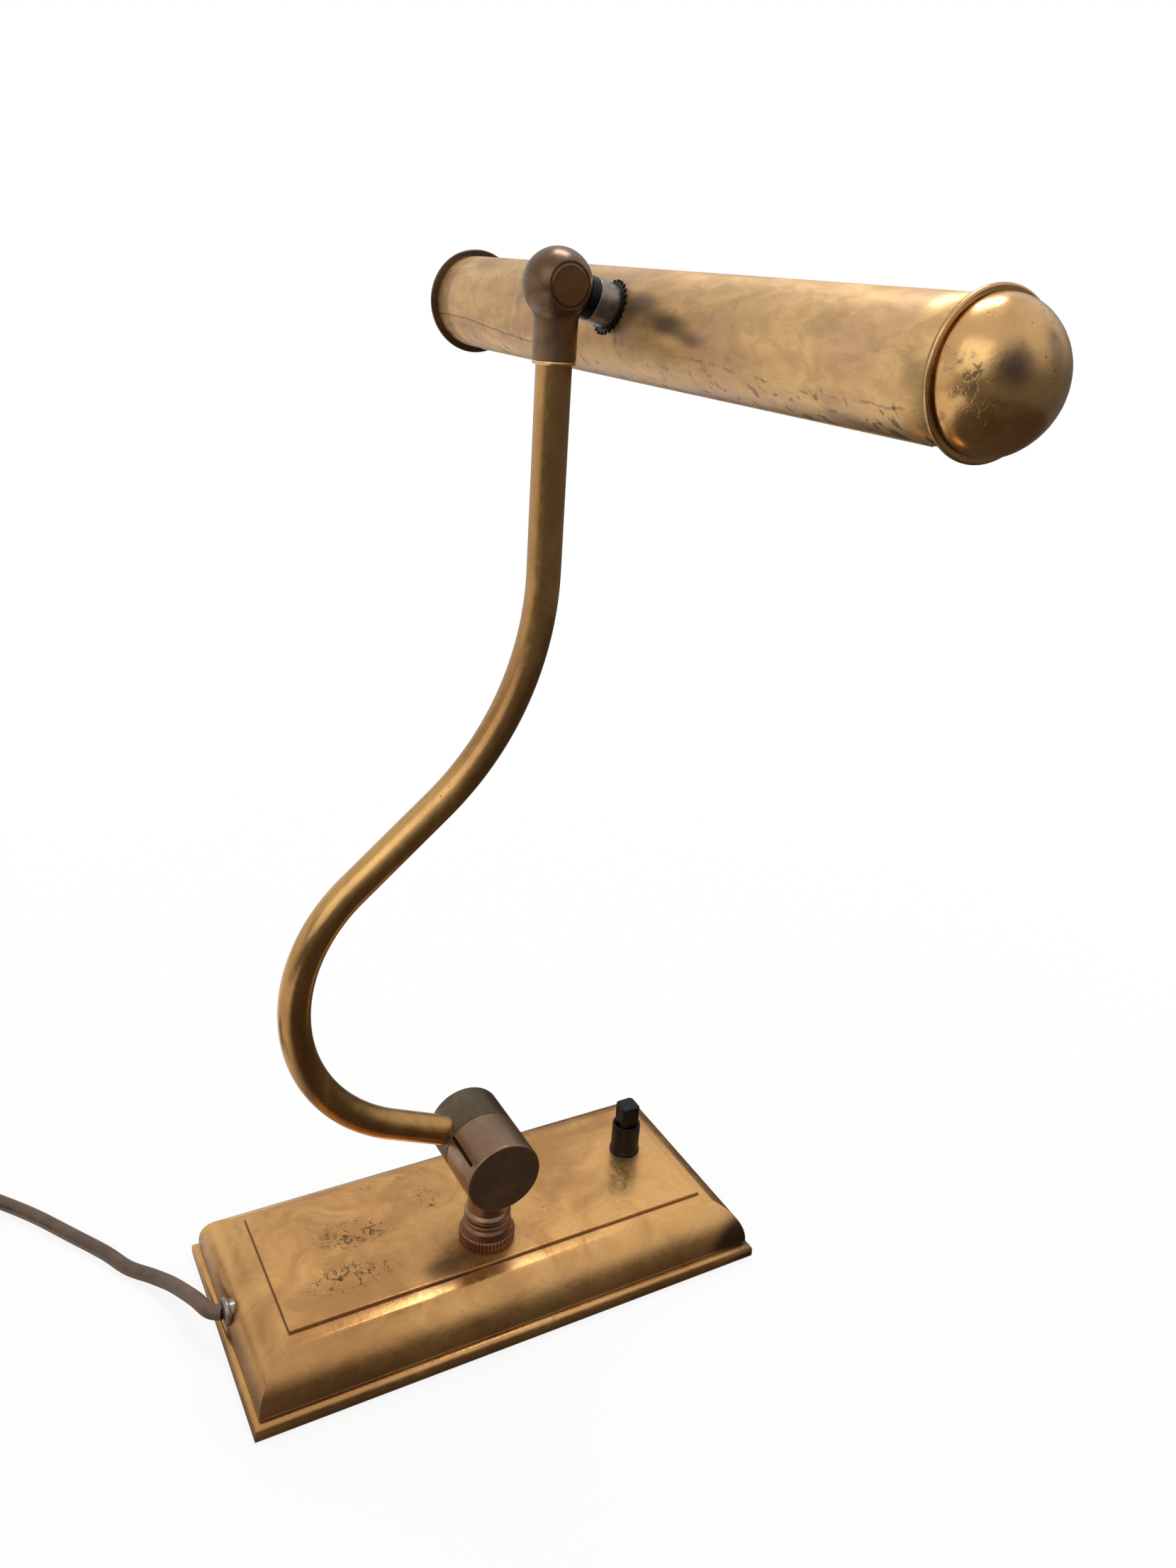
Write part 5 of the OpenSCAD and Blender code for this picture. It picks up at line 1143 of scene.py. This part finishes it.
def speckled(name, first, second, rough, metal=0.0, scale=120.0, depth=0.00005, fixed=None):
    """A plain finish with two tones of one colour, a varying gloss and a fine grain."""

    def make(board, at):
        cloud = board.noise(at, scale, 4, 0.6, 0.3)
        grain = board.noise(at, scale * 6, 3, 0.6)
        share = board.step(cloud * 0.7 + grain * 0.3, 0.38, 0.64)
        return {"Base Color": board.blend(share, colour(*first), colour(*second)),
                "Roughness": board.step(cloud, 0.3, 0.7, rough[0], rough[1]),
                "Normal": board.bump(grain * 0.5 + cloud * 0.5, depth)}

    return finish(name, make, {"Metallic": metal, **(fixed or {})})


steel = speckled("plain_steel", (160, 160, 158), (190, 190, 188), (0.26, 0.4), 0.95)
by_slot = {
    "ballast_iron": speckled("ballast_iron", (58, 56, 56), (84, 80, 78), (0.5, 0.7), 0.6, 90, 0.0003),
    "plate_steel": steel, "screw_steel": steel, "spring_steel": steel, "bracket_steel": steel,
    "felt": speckled("felt_green", (54, 66, 50), (78, 90, 72), (0.9, 0.98), 0, 400, 0.0004,
                     {"Sheen Weight": 0.3}),
    "clamp_plastic": speckled("clamp_plastic", (214, 208, 190), (228, 222, 206), (0.4, 0.5)),
    "lead_insulation": speckled("lead_brown", (120, 84, 58), (142, 102, 74), (0.45, 0.6)),
    "sleeving": speckled("sleeving", (214, 206, 188), (232, 226, 210), (0.7, 0.85), 0, 500, 0.0001),
    "socket_plastic": speckled("socket_brown", (66, 44, 32), (86, 60, 44), (0.26, 0.38), 0, 100, 0.00003,
                               {"Coat Weight": 0.3}),
    "bulb_base": speckled("bulb_base", (186, 186, 182), (206, 206, 202), (0.25, 0.35), 0.95),
    "filament": speckled("filament", (120, 118, 114), (150, 148, 144), (0.3, 0.4), 0.9),
    "plug_brown": speckled("plug_brown", (84, 62, 46), (106, 80, 62), (0.34, 0.46), 0, 100, 0.00005,
                           {"Coat Weight": 0.2}),
    "contact_brass": speckled("contact_brass", (206, 168, 96), (224, 190, 120), (0.2, 0.32), 0.95),
    "stud_brass": edge_brass, "cord_brown": flex_brown, "nickel": nickel, "switch_black": switch_black,
    "button_black": switch_black, "bulb_glass": bulb_glass, "sleeve_steel": sleeve_steel,
    "washer_black": washer_black, "drum_bronze": bronze, "knuckle_bronze": dark_bronze,
    "collar_bronze": red_bronze, "arm_brass": arm_brass, "base_brass": base_brass, "cap_brass": cap_brass,
    "shade_brass": shade_brass, "ring_brass": edge_brass,
}
dressed = 0
for name, piece in frame["nodes"].items():
    old = piece.data.materials[0].name.split(".")[0] if piece.data.materials else ""
    if old in by_slot:
        piece.data.materials[0] = by_slot[old]
        piece.data.shade_smooth()
        piece.data.set_sharp_from_angle(angle=math.radians(30))
        dressed += 1
    else:
        print("no finish for", name, old)
print("dressed", dressed, "of", len(frame["nodes"]), "frame nodes")
